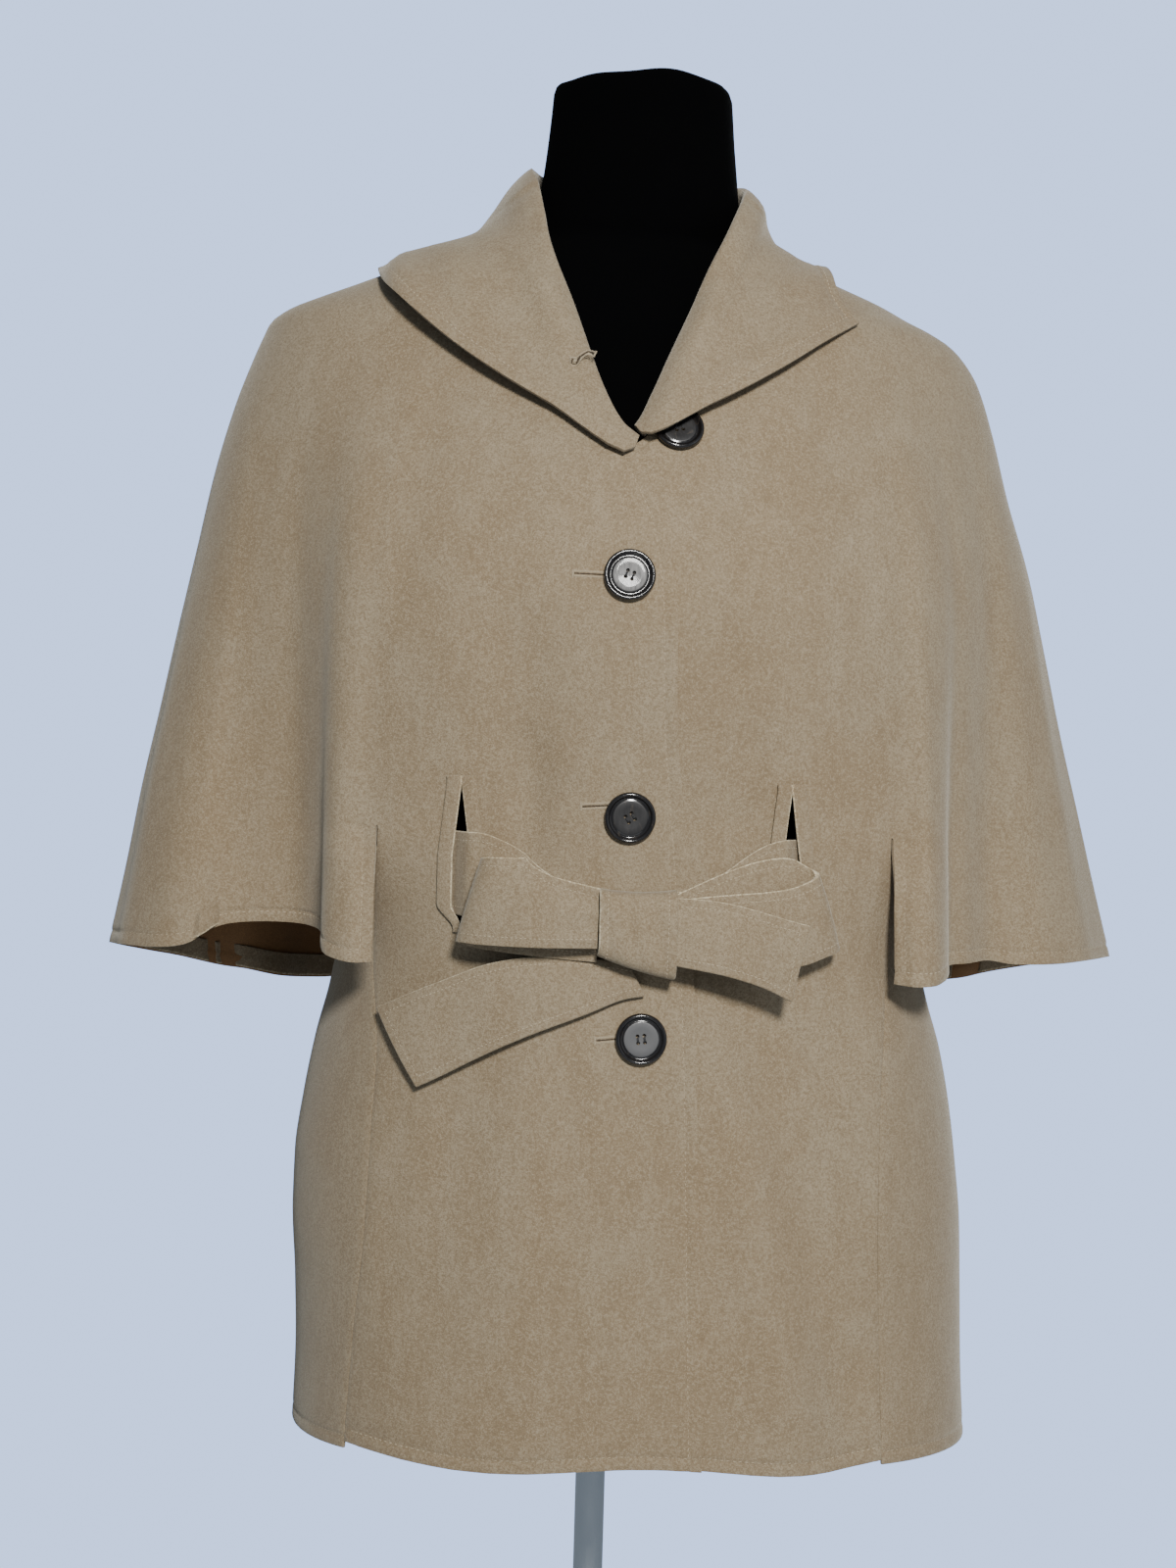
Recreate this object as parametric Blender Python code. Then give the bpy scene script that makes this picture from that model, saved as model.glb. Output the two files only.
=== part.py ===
"""Suede cape jacket worn by a limbless dress form on a pole. Metres, +Z up, front towards -Y."""
import math

import bmesh
import bpy
import numpy as np

# Cloth
CLOTH = 0.0020          # suede wall
SEAM = 0.0003           # gap between pieces at a seam
LAP = 0.0015            # each front moves this far from the shared surface in the lap
BELT_T = 0.0024         # belt, two layers
BELT_W = 0.045
BELT_OUT = 0.0054       # middle of the belt over the front, outside
BELT_IN = -0.0030       # and inside
BELT_SIDE_IN = -0.0042
BELT_Z = 0.9855

# Heights
NECK_Z = 1.352          # neckline at the back and at the shoulder seam
V_Z = 1.2115            # foot of the roll line
SLASH_Z = 1.010         # top of the slash between cape and body
SLIT_TOP = 1.034
SLIT_LOW = 0.958
HEM_Z = 0.672

# Outermost line of the cape: height, x on the wearer's right, x on the wearer's left
CAPE_LINE = (
    (1.3520, -0.0720, 0.0800),
    (1.3440, -0.0920, 0.1000),
    (1.3365, -0.1130, 0.1190),
    (1.3280, -0.1375, 0.1405),
    (1.3200, -0.1575, 0.1600),
    (1.3115, -0.1790, 0.1765),
    (1.3055, -0.1925, 0.1895),
    (1.2985, -0.2015, 0.2010),
    (1.2900, -0.2055, 0.2090),
    (1.2780, -0.2105, 0.2165),
    (1.2505, -0.2205, 0.2262),
    (1.2123, -0.2310, 0.2368),
    (1.1661, -0.2405, 0.2512),
    (1.1199, -0.2500, 0.2620),
    (1.0738, -0.2590, 0.2724),
    (1.0278, -0.2684, 0.2840),
    (0.9818, -0.2762, 0.2955),
    (0.9358, -0.2850, 0.3075),
)
# Depth of the jacket at its middle: height, front, back
DEPTH = (
    (1.3520, 0.0560, 0.0580),
    (1.3440, 0.0600, 0.0670),
    (1.3365, 0.0640, 0.0730),
    (1.3280, 0.0690, 0.0785),
    (1.3100, 0.0790, 0.0870),
    (1.2800, 0.0970, 0.0960),
    (1.2500, 0.1130, 0.1010),
    (1.2200, 0.1270, 0.1040),
    (1.1900, 0.1390, 0.1045),
    (1.1600, 0.1475, 0.1025),
    (1.1300, 0.1500, 0.1000),
    (1.0900, 0.1470, 0.0955),
    (1.0500, 0.1410, 0.0910),
    (1.0000, 0.1360, 0.0890),
    (0.9500, 0.1380, 0.0960),
    (0.9000, 0.1410, 0.1070),
    (0.8000, 0.1440, 0.1220),
    (0.6600, 0.1470, 0.1320),
)
# Middle of the sections: height, x
MIDDLE = ((1.36, 0.004), (1.15, 0.003), (1.00, 0.008), (0.90, 0.016), (0.80, 0.019), (0.66, 0.023))
# How pointed the sides of a section are
POINT = ((1.36, 1.10), (1.30, 1.15), (1.20, 1.30), (1.00, 1.45), (0.90, 1.45))
# Body of the jacket under the cape: height, x on both sides
BODY_LINE = (
    (1.0600, -0.1500, 0.1720),
    (1.0100, -0.1460, 0.1720),
    (0.9700, -0.1480, 0.1780),
    (0.9158, -0.1560, 0.1905),
    (0.8869, -0.1630, 0.1990),
    (0.8522, -0.1690, 0.2055),
    (0.8200, -0.1727, 0.2095),
    (0.7900, -0.1730, 0.2125),
    (0.7500, -0.1705, 0.2140),
    (0.7056, -0.1690, 0.2155),
    (0.6600, -0.1700, 0.2185),
)
BODY_ROUND = 0.80
# Edge of the over front, and of the under front that it hides
OVER_EDGE = (
    (1.2300, -0.0046),
    (1.2115, 0.0022),
    (1.1978, 0.0086),
    (1.1774, 0.0170),
    (1.1594, 0.0212),
    (1.1243, 0.0253),
    (1.0777, 0.0271),
    (1.0188, 0.0330),
    (0.9846, 0.0365),
    (0.9002, 0.0425),
    (0.8126, 0.0460),
    (0.6600, 0.0515),
)
UNDER_EDGE = ((1.2300, -0.0010), (1.2126, -0.0080), (1.1900, -0.0200), (1.1500, -0.0290), (1.0000, -0.0260),
              (0.9000, -0.0180), (0.6600, -0.0090))
# Top edge of each front from the foot of the roll line to the shoulder seam
TOP_EDGE_R = ((1.2115, 0.0022), (1.2230, -0.0108), (1.2435, -0.0212), (1.2638, -0.0282), (1.2792, -0.0328),
              (1.3004, -0.0392), (1.3200, -0.0460), (1.3365, -0.0545), (1.3440, -0.0610), (1.3520, -0.0695))
TOP_EDGE_L = ((1.2115, -0.0080), (1.2230, 0.0090), (1.2435, 0.0195), (1.2620, 0.0275), (1.2800, 0.0355),
              (1.2969, 0.0430), (1.3200, 0.0520), (1.3365, 0.0615), (1.3440, 0.0680), (1.3520, 0.0775))
# Line of the slash and of the seam below it
SLASH_R = ((1.3520, -0.0705), (1.3440, -0.0820), (1.3365, -0.0950), (1.3280, -0.1050), (1.3115, -0.1150),
           (1.2800, -0.1190), (1.2000, -0.1240), (1.1000, -0.1280), (1.0100, -0.1290), (0.9377, -0.1296),
           (0.8889, -0.1261), (0.8442, -0.1281), (0.7818, -0.1307), (0.7458, -0.1339), (0.6600, -0.1390))
SLASH_L = ((1.3520, 0.0785), (1.3440, 0.0920), (1.3365, 0.1040), (1.3280, 0.1130), (1.3115, 0.1230),
           (1.2800, 0.1300), (1.2000, 0.1430), (1.1000, 0.1490), (1.0100, 0.1505), (0.9381, 0.1519),
           (0.9200, 0.1507), (0.8435, 0.1470), (0.8037, 0.1474), (0.7300, 0.1500), (0.6600, 0.1530))
BACK_SLASH = 0.125
SLASH_GAP = 0.0010       # cape beside the body at the top of the slash

# Columns of cloth: shares of the way from the front edge to the slash, with the belt slit between two of them
SPLIT_R = (0.0, 0.075, 0.155, 0.25, 0.345, 0.44, 0.53, 0.615, 0.690, 0.758, 0.835, 0.92, 1.0)
SLIT_COL_R = 8
SPLIT_L = (0.0, 0.085, 0.17, 0.26, 0.35, 0.44, 0.51, 0.577, 0.640, 0.702, 0.80, 0.90, 1.0)
SLIT_COL_L = 8
CAPE_COLUMNS = 11
BACK_CAPE_COLUMNS = 9
BACK_COLUMNS = 10
SIDE_COLUMNS = 7
LEVELS = (1.352, 1.3498, 1.3473, 1.344, 1.3365, 1.328, 1.320, 1.3115, 1.3035, 1.294, 1.280, 1.262, 1.2435,
          1.2230, 1.2115, 1.190, 1.166, 1.142, 1.117, 1.090, 1.062, SLIT_TOP, SLASH_Z)
LOW_LEVELS = (0.998, 0.978, SLIT_LOW, 0.936, 0.911, 0.883, 0.853, 0.820, 0.785, 0.748, 0.710, HEM_Z)
CAPE_DROP = (0.16, 0.37, 0.58, 0.79, 1.0)

# Plan of the cape's hem from the slash to the outermost line: x, y, height of the hem
HEM_PLAN_R = (
    (-0.1296, -0.1180, 0.9370),
    (-0.1420, -0.1200, 0.9365),
    (-0.1545, -0.1100, 0.9400),
    (-0.1580, -0.0860, 0.9500),
    (-0.1720, -0.0680, 0.9530),
    (-0.1980, -0.0590, 0.9530),
    (-0.2180, -0.0610, 0.9500),
    (-0.2330, -0.0700, 0.9410),
    (-0.2500, -0.0650, 0.9380),
    (-0.2700, -0.0420, 0.9370),
    (-0.2850, 0.0000, 0.9350),
)
HEM_PLAN_L = (
    (0.1519, -0.1170, 0.9310),
    (0.1640, -0.1240, 0.9300),
    (0.1770, -0.1200, 0.9310),
    (0.1850, -0.1030, 0.9350),
    (0.1870, -0.0870, 0.9390),
    (0.2010, -0.0800, 0.9400),
    (0.2180, -0.0660, 0.9410),
    (0.2330, -0.0640, 0.9390),
    (0.2600, -0.0560, 0.9390),
    (0.2860, -0.0330, 0.9400),
    (0.3075, 0.0000, 0.9400),
)
BACK_PLAN_R = (
    (-0.2850, 0.0000, 0.9350),
    (-0.2760, 0.0420, 0.9290),
    (-0.2520, 0.0660, 0.9230),
    (-0.2270, 0.0640, 0.9180),
    (-0.2080, 0.0560, 0.9160),
    (-0.1900, 0.0660, 0.9120),
    (-0.1700, 0.0880, 0.9100),
    (-0.1480, 0.0980, 0.9110),
    (-0.1210, 0.0900, 0.9130),
)
BACK_PLAN_L = (
    (0.3075, 0.0000, 0.9400),
    (0.2950, 0.0410, 0.9340),
    (0.2700, 0.0640, 0.9280),
    (0.2440, 0.0660, 0.9230),
    (0.2240, 0.0570, 0.9200),
    (0.2030, 0.0700, 0.9160),
    (0.1800, 0.0900, 0.9130),
    (0.1580, 0.0960, 0.9130),
    (0.1350, 0.0860, 0.9150),
)
FOLD_TOP = 1.275        # the cape's folds start under the shoulder ends
FOLD_POWER = 1.25

# Soft troughs (depth over 0) and ridges on the body: x, z at the upper end, x, z at the lower end, width, depth
CREASES = (
    (0.078, 0.930, 0.134, 0.690, 0.030, 0.0075),
    (0.100, 0.925, 0.160, 0.712, 0.024, 0.0040),
    (0.056, 0.900, 0.104, 0.690, 0.026, -0.0035),
    (-0.047, 1.055, -0.047, 0.990, 0.016, 0.0040),
    (-0.060, 1.130, -0.045, 1.020, 0.030, 0.0035),
    (0.060, 1.120, 0.066, 1.010, 0.028, 0.0035),
    (-0.075, 0.920, -0.098, 0.740, 0.030, 0.0030),
)
BACK_CREASES = (
    (-0.050, 1.060, -0.062, 0.760, 0.034, 0.0050),
    (0.066, 1.050, 0.090, 0.740, 0.032, 0.0055),
    (0.008, 1.020, 0.012, 0.860, 0.026, 0.0030),
)

# Collar at stations from the foot of the V to the middle of the back: place on the top edge (a height in front,
# an angle in degrees at the back), roll, outer edge. The roll of the V follows from the edge.
COLLAR_R = (
    (1.2142, None, (-0.1385, -0.0190, 1.3250)),
    (1.2415, None, (-0.1352, -0.0100, 1.3290)),
    (1.2720, None, (-0.1340, 0.0020, 1.3300)),
    (1.3060, None, (-0.1310, 0.0140, 1.3290)),
    (1.3360, (-0.0428, -0.0560, 1.3520), (-0.1260, 0.0300, 1.3260)),
    (1.3520, (-0.0468, -0.0290, 1.3800), (-0.1160, 0.0480, 1.3220)),
    (112.0, (-0.0492, 0.0050, 1.3975), (-0.1000, 0.0660, 1.3160)),
    (135.0, (-0.0405, 0.0375, 1.4015), (-0.0720, 0.0800, 1.3110)),
    (158.0, (-0.0210, 0.0530, 1.4030), (-0.0370, 0.0890, 1.3080)),
    (180.0, (0.0070, 0.0575, 1.4035), (0.0040, 0.0920, 1.3070)),
)
COLLAR_L = (
    (1.2225, None, (0.1322, -0.0650, 1.2985)),
    (1.2450, None, (0.1235, -0.0530, 1.3085)),
    (1.2720, None, (0.1150, -0.0340, 1.3180)),
    (1.3060, None, (0.1130, -0.0100, 1.3260)),
    (1.3360, (0.0570, -0.0580, 1.3520), (0.1140, 0.0170, 1.3270)),
    (1.3520, (0.0680, -0.0280, 1.3770), (0.1090, 0.0410, 1.3240)),
    (68.0, (0.0726, 0.0065, 1.3920), (0.0980, 0.0625, 1.3175)),
    (45.0, (0.0610, 0.0385, 1.3995), (0.0800, 0.0790, 1.3110)),
    (22.0, (0.0370, 0.0535, 1.4025), (0.0450, 0.0890, 1.3080)),
    (0.0, (0.0070, 0.0575, 1.4035), (0.0040, 0.0920, 1.3070)),
)
COLLAR_LIFT = 0.0040    # fall over the cloth below it, middle to middle
# How far the revers hang at their lower ends, from the roll outwards
REVERS_SAG = {True: (0.0060, 0.0195, 0.0230, 0.0140), False: (0.0050, 0.0095, 0.0095, 0.0045)}
ROLL_IN = 0.0074        # the V's roll past the front's top edge, and over it
ROLL_UP = 0.0026
COLLAR_COLUMNS = 40
COLLAR_V = (0, 1, 2, 2.55, 3, 3.5, 4, 4.5, 5, 6, 7, 8)      # places of its rows on the points of a section
COLLAR_GAP = 0.0009     # inner edge of the collar from the neckline

# Buttons: radius, thickness, and x, z of each from the top
BUTTON_R = 0.0137
BUTTON_T = 0.0040
BUTTONS = ((0.0262, 1.2275), (-0.0005, 1.1448), (0.0043, 1.0182), (0.0130, 0.9008))

# Bow: places across the belt's width; x, z and height over the front of the knot's middle
ACROSS = (-0.5, -0.17, 0.17, 0.5)
KNOT = (0.0072, 0.9575, 0.0165)

# Dress form: height, x right, x left, front depth, back depth
FORM = (
    (1.4480, -0.0395, 0.0650, 0.0450, 0.0500),
    (1.4150, -0.0425, 0.0675, 0.0455, 0.0500),
    (1.3900, -0.0455, 0.0700, 0.0465, 0.0505),
    (1.3700, -0.0500, 0.0715, 0.0480, 0.0510),
    (1.3580, -0.0560, 0.0705, 0.0490, 0.0515),
    (1.3500, -0.0630, 0.0720, 0.0480, 0.0520),
    (1.3420, -0.0870, 0.0950, 0.0530, 0.0600),
    (1.3352, -0.1110, 0.1170, 0.0585, 0.0670),
    (1.3267, -0.1370, 0.1400, 0.0640, 0.0735),
    (1.3187, -0.1570, 0.1590, 0.0690, 0.0775),
    (1.3100, -0.1720, 0.1740, 0.0740, 0.0810),
    (1.3020, -0.1800, 0.1830, 0.0785, 0.0840),
    (1.2900, -0.1850, 0.1890, 0.0860, 0.0880),
    (1.2700, -0.1860, 0.1910, 0.0970, 0.0930),
    (1.2400, -0.1800, 0.1870, 0.1120, 0.0965),
    (1.2000, -0.1680, 0.1770, 0.1290, 0.0980),
    (1.1500, -0.1550, 0.1660, 0.1410, 0.0950),
    (1.1000, -0.1400, 0.1520, 0.1370, 0.0870),
    (1.0500, -0.1250, 0.1390, 0.1180, 0.0770),
    (1.0000, -0.1160, 0.1310, 0.1050, 0.0720),
    (0.9500, -0.1200, 0.1370, 0.1100, 0.0790),
    (0.9000, -0.1340, 0.1530, 0.1220, 0.0920),
    (0.8500, -0.1460, 0.1670, 0.1280, 0.1010),
    (0.8000, -0.1520, 0.1740, 0.1270, 0.1050),
    (0.7500, -0.1520, 0.1750, 0.1220, 0.1040),
    (0.7300, -0.1500, 0.1730, 0.1190, 0.1010),
)
FORM_LEVELS = (1.448, 1.415, 1.385, 1.368, 1.357, 1.350, 1.342, 1.3345, 1.326, 1.318, 1.3095, 1.301,
               1.287, 1.264, 1.230, 1.190, 1.150, 1.105, 1.055, 1.005, 0.955, 0.900, 0.845, 0.790, 0.740)
FORM_SIDES = 24
FORM_POINT = ((1.45, 1.00), (1.36, 1.00), (1.35, 1.10), (1.30, 1.15), (1.25, 1.00), (1.15, 0.85), (0.70, 0.85))

POLE_X = 0.004
POLE_R = 0.0087
SOCKET_R = 0.0135
FLANGE_R = 0.0300
SOCKET_H = 0.0300
FORM_LOW = 0.7300
BASE_R = 0.1450
BASE_T = 0.0120

COLORS = {
    "suede": ((0.42, 0.33, 0.22, 1.0), 0.93, 0.0),
    "cover": ((0.012, 0.012, 0.014, 1.0), 0.95, 0.0),
    "chrome": ((0.78, 0.78, 0.80, 1.0), 0.12, 1.0),
    "horn": ((0.015, 0.013, 0.012, 1.0), 0.22, 0.0),
}


def curve(table, x, column=1):
    """Smooth monotone value of a table at x."""
    rows = sorted(table)
    xs = [r[0] for r in rows]
    ys = [r[column] for r in rows]
    if x <= xs[0]:
        return ys[0]
    if x >= xs[-1]:
        return ys[-1]
    n = len(xs)
    steps = [(ys[i + 1] - ys[i]) / (xs[i + 1] - xs[i]) for i in range(n - 1)]
    slopes = [steps[0]] + [0.0] * (n - 2) + [steps[-1]]
    for i in range(1, n - 1):
        a, b = steps[i - 1], steps[i]
        if a * b > 0:
            slopes[i] = 2 * a * b / (a + b)
    k = max(i for i in range(n - 1) if xs[i] <= x)
    h = xs[k + 1] - xs[k]
    t = (x - xs[k]) / h
    return (
        ys[k] * (1 + 2 * t) * (1 - t) ** 2
        + slopes[k] * h * t * (1 - t) ** 2
        + ys[k + 1] * t * t * (3 - 2 * t)
        + slopes[k + 1] * h * t * t * (t - 1)
    )


def line(points, t):
    """Point at share t of a smooth line through points, by chord length."""
    p = np.array(points, float)
    chord = np.concatenate([[0.0], np.cumsum(np.linalg.norm(np.diff(p[:, :2], axis=0), axis=1))])
    s = chord / chord[-1]
    k = min(max(int(np.searchsorted(s, t, side="right")) - 1, 0), len(p) - 2)
    h = s[k + 1] - s[k]
    u = min(max((t - s[k]) / h, 0.0), 1.0)

    def slope(i):
        if i == 0:
            return (p[1] - p[0]) / (s[1] - s[0])
        if i == len(p) - 1:
            return (p[-1] - p[-2]) / (s[-1] - s[-2])
        return (p[i + 1] - p[i - 1]) / (s[i + 1] - s[i - 1])

    return (
        p[k] * (1 + 2 * u) * (1 - u) ** 2
        + slope(k) * h * u * (1 - u) ** 2
        + p[k + 1] * u * u * (3 - 2 * u)
        + slope(k + 1) * h * u * u * (u - 1)
    )


def smooth(t):
    t = min(max(t, 0.0), 1.0)
    return t * t * (3 - 2 * t)


def signed_power(v, e):
    return math.copysign(abs(v) ** e, v)


def outline(z, right):
    """x of the cape's outermost line."""
    return curve(CAPE_LINE, z, 1 if right else 2)


def shell(z, a):
    """Upper jacket and cape without folds; a is 0 in front, negative on the wearer's right."""
    m = curve(MIDDLE, z)
    s, c = math.sin(a), math.cos(a)
    w = m - outline(z, True) if s < 0 else outline(z, False) - m
    d = curve(DEPTH, z, 1 if c > 0 else 2)
    return np.array([m + w * s, -d * signed_power(c, curve(POINT, z)), z])


def shell_angle(z, x, back=False):
    m = curve(MIDDLE, z)
    w = m - outline(z, True) if x < m else outline(z, False) - m
    a = math.asin(min(max((x - m) / w, -1.0), 1.0))
    return math.copysign(math.pi, x - m) - a if back else a


def body(z, a):
    """Jacket's body under the cape."""
    m = curve(MIDDLE, z)
    s, c = math.sin(a), math.cos(a)
    w = m - curve(BODY_LINE, z, 1) if s < 0 else curve(BODY_LINE, z, 2) - m
    d = curve(DEPTH, z, 1 if c > 0 else 2)
    return np.array([m + w * signed_power(s, BODY_ROUND), -d * signed_power(c, BODY_ROUND), z])


def body_angle(z, x, back=False):
    m = curve(MIDDLE, z)
    w = m - curve(BODY_LINE, z, 1) if x < m else curve(BODY_LINE, z, 2) - m
    a = math.asin(signed_power(min(max((x - m) / w, -1.0), 1.0), 1 / BODY_ROUND))
    return math.copysign(math.pi, x - m) - a if back else a


def crease(x, z, back=False):
    """How far the cloth lies inwards at x, z."""
    total = 0.0
    for x1, z1, x2, z2, width, depth in BACK_CREASES if back else CREASES:
        dx, dz = x2 - x1, z2 - z1
        length = math.hypot(dx, dz)
        along = ((x - x1) * dx + (z - z1) * dz) / length
        across = ((x - x1) * dz - (z - z1) * dx) / length
        t = along / length
        ends = smooth((t + 0.25) / 0.5) * smooth((1.25 - t) / 0.4)
        total += depth * ends * math.exp(-((across / width) ** 2) * 2.2)
    return total


def trunk(x, z, back=False):
    """Front or back of the jacket at x, z, from the shell above the slash to the body below it."""
    over = shell(z, shell_angle(z, x, back))
    share = smooth((SLASH_Z - z) / 0.085)
    p = over
    if share > 0:
        under = body(z, body_angle(z, x, back))
        p = over * (1 - share) + under * share
    sign = -1 if back else 1
    return np.array([x, p[1] + sign * crease(x, z, back), z])


def slash_x(z, right, back=False):
    if back:
        m = curve(MIDDLE, z)
        w = m - outline(z, True) if right else outline(z, False) - m
        x = min(BACK_SLASH, 0.62 * w)
        return m - x if right else m + x
    return curve(SLASH_R if right else SLASH_L, z)


def side(z, t, right):
    """Side panel from the front seam (t = 0) to the back seam (t = 1)."""
    xf, xb = slash_x(z, right), slash_x(z, right, True)
    af, ab = body_angle(z, xf), body_angle(z, xb, True)
    p = body(z, af + (ab - af) * t)
    front = trunk(xf, z) - body(z, af)
    rear = trunk(xb, z, True) - body(z, ab)
    return p + front * smooth(1 - 2.2 * t) + rear * smooth(2.2 * t - 1.2)


PLANS = {
    (True, False): HEM_PLAN_R,
    (False, False): HEM_PLAN_L,
    (True, True): BACK_PLAN_R,
    (False, True): BACK_PLAN_L,
}


def cape(z, q, right, back=False):
    """Cape from the slash (q = 0) to the outermost line (q = 1), with its folds."""
    plan = PLANS[(right, back)]
    turn = 1 - q if back else q
    foot = line(plan, turn)
    a0 = shell_angle(z, slash_x(z, right, back), back)
    a1 = -math.pi / 2 if right else math.pi / 2
    smooth_at = shell(z, a0 + (a1 - a0) * q)
    hem = foot[2]
    b0 = shell_angle(hem, slash_x(hem, right, back), back)
    rest = shell(hem, b0 + (a1 - b0) * q)
    weight = max(0.0, (FOLD_TOP - z) / (FOLD_TOP - hem)) ** FOLD_POWER
    away = (foot - rest) * weight
    away[2] = 0.0
    if z >= SLASH_Z:
        away *= smooth(q / 0.12)
    else:
        near = 1 - smooth(q / 0.12)
        share = smooth((SLASH_Z - z) / 0.05)
        away *= 1 - near * (1 - share)
        off = 0.0042 * smooth((SLASH_Z - z) / 0.013)
        away[1] += (off if back else -off) * (1 - smooth(q / 0.5))
    return smooth_at + away


def hem_height(q, right, back=False):
    return line(PLANS[(right, back)], 1 - q if back else q)[2]


def body_hem(x):
    """Lower edge of the fronts, a little uneven."""
    return HEM_Z + 0.0025 * math.sin(38.0 * x + 0.9)


def material(kind):
    mat = bpy.data.materials.get(kind)
    if mat is None:
        mat = bpy.data.materials.new(kind)
        mat.use_nodes = True
        color, rough, metal = COLORS[kind]
        shader = mat.node_tree.nodes["Principled BSDF"]
        shader.inputs["Base Color"].default_value = color
        shader.inputs["Roughness"].default_value = rough
        shader.inputs["Metallic"].default_value = metal
    return mat


def add(name, verts, faces, kind, sharp=40.0):
    """One closed body from points and faces, smooth except at its edges."""
    mesh = bpy.data.meshes.new(name)
    mesh.from_pydata([tuple(v) for v in verts], [], faces)
    bm = bmesh.new()
    bm.from_mesh(mesh)
    bmesh.ops.recalc_face_normals(bm, faces=bm.faces)
    for f in bm.faces:
        f.smooth = True
    for e in bm.edges:
        e.smooth = len(e.link_faces) == 2 and e.calc_face_angle() < math.radians(sharp)
    bm.to_mesh(mesh)
    bm.free()
    mesh.materials.append(material(kind))
    obj = bpy.data.objects.new(name, mesh)
    bpy.context.scene.collection.objects.link(obj)
    return obj


class Cloth:
    """A sheet gathered from named points, then given its thickness."""

    def __init__(self):
        self.at = {}
        self.normal = {}
        self.faces = []

    def point(self, key, p, n):
        self.at[key] = np.array(p, float)
        self.normal[key] = np.array(n, float) / np.linalg.norm(n)

    def face(self, *keys):
        self.faces.append(keys)

    def strip(self, upper, lower):
        for a, b, c, d in zip(upper, upper[1:], lower[1:], lower):
            self.face(a, b, c, d)

    def build(self, name, thickness, kind="suede"):
        keys = sorted({k for f in self.faces for k in f}, key=repr)
        index = {k: i for i, k in enumerate(keys)}
        n = len(keys)
        outer = [self.at[k] + self.normal[k] * thickness / 2 for k in keys]
        inner = [self.at[k] - self.normal[k] * thickness / 2 for k in keys]
        faces = []
        edges = {}
        for f in self.faces:
            ids = [index[k] for k in f]
            p = [self.at[k] for k in f]
            short = np.linalg.norm(p[2] - p[0]) <= np.linalg.norm(p[3] - p[1])
            halves = ((0, 1, 2), (0, 2, 3)) if short else ((0, 1, 3), (1, 2, 3))
            for half in halves:
                faces.append([ids[i] for i in half])
                faces.append([ids[i] + n for i in reversed(half)])
            for a, b in zip(ids, ids[1:] + ids[:1]):
                edges[(a, b)] = edges.get((a, b), 0) + 1
        for a, b in edges:
            if (b, a) not in edges:
                faces.append([b, a, a + n, b + n])
        return add(name, outer + inner, faces, kind)


def facing(n, outwards):
    return n if np.dot(n, outwards) >= 0 else -n


def away_from_axis(p):
    return np.array([p[0] - 0.006, p[1], 0.12 if p[2] > 1.3 else 0.0])


def trunk_normal(x, z, back):
    e = 0.002
    f = lambda u, v: trunk(u, v, back)
    n = np.cross(f(x + e, z) - f(x - e, z), f(x, z + e) - f(x, z - e))
    n = n / np.linalg.norm(n)
    return n if (n[1] > 0) == back else -n


def cape_normal(z, q, right, back):
    f = lambda u, v: cape(u, v, right, back)
    if q > 0.999:
        around = cape(z, 0.985, right, True) - cape(z, 0.985, right, False)
        around = -around if back else around
    elif q < 0.02:
        around = f(z, 0.03) - f(z, 0.0)
    else:
        around = f(z, min(q + 0.012, 1.0)) - f(z, q - 0.012)
    up = f(z + 0.002, q) - f(z - 0.002, q)
    n = np.cross(around, up)
    n = n / np.linalg.norm(n)
    return n if right == back else -n


def lap_offset(x, z, right):
    """Over front lies out, under front lies in, where they lap."""
    if right:
        return LAP * smooth((x + 0.075) / 0.040)
    return -LAP * smooth((0.095 - x) / 0.040)


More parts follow.
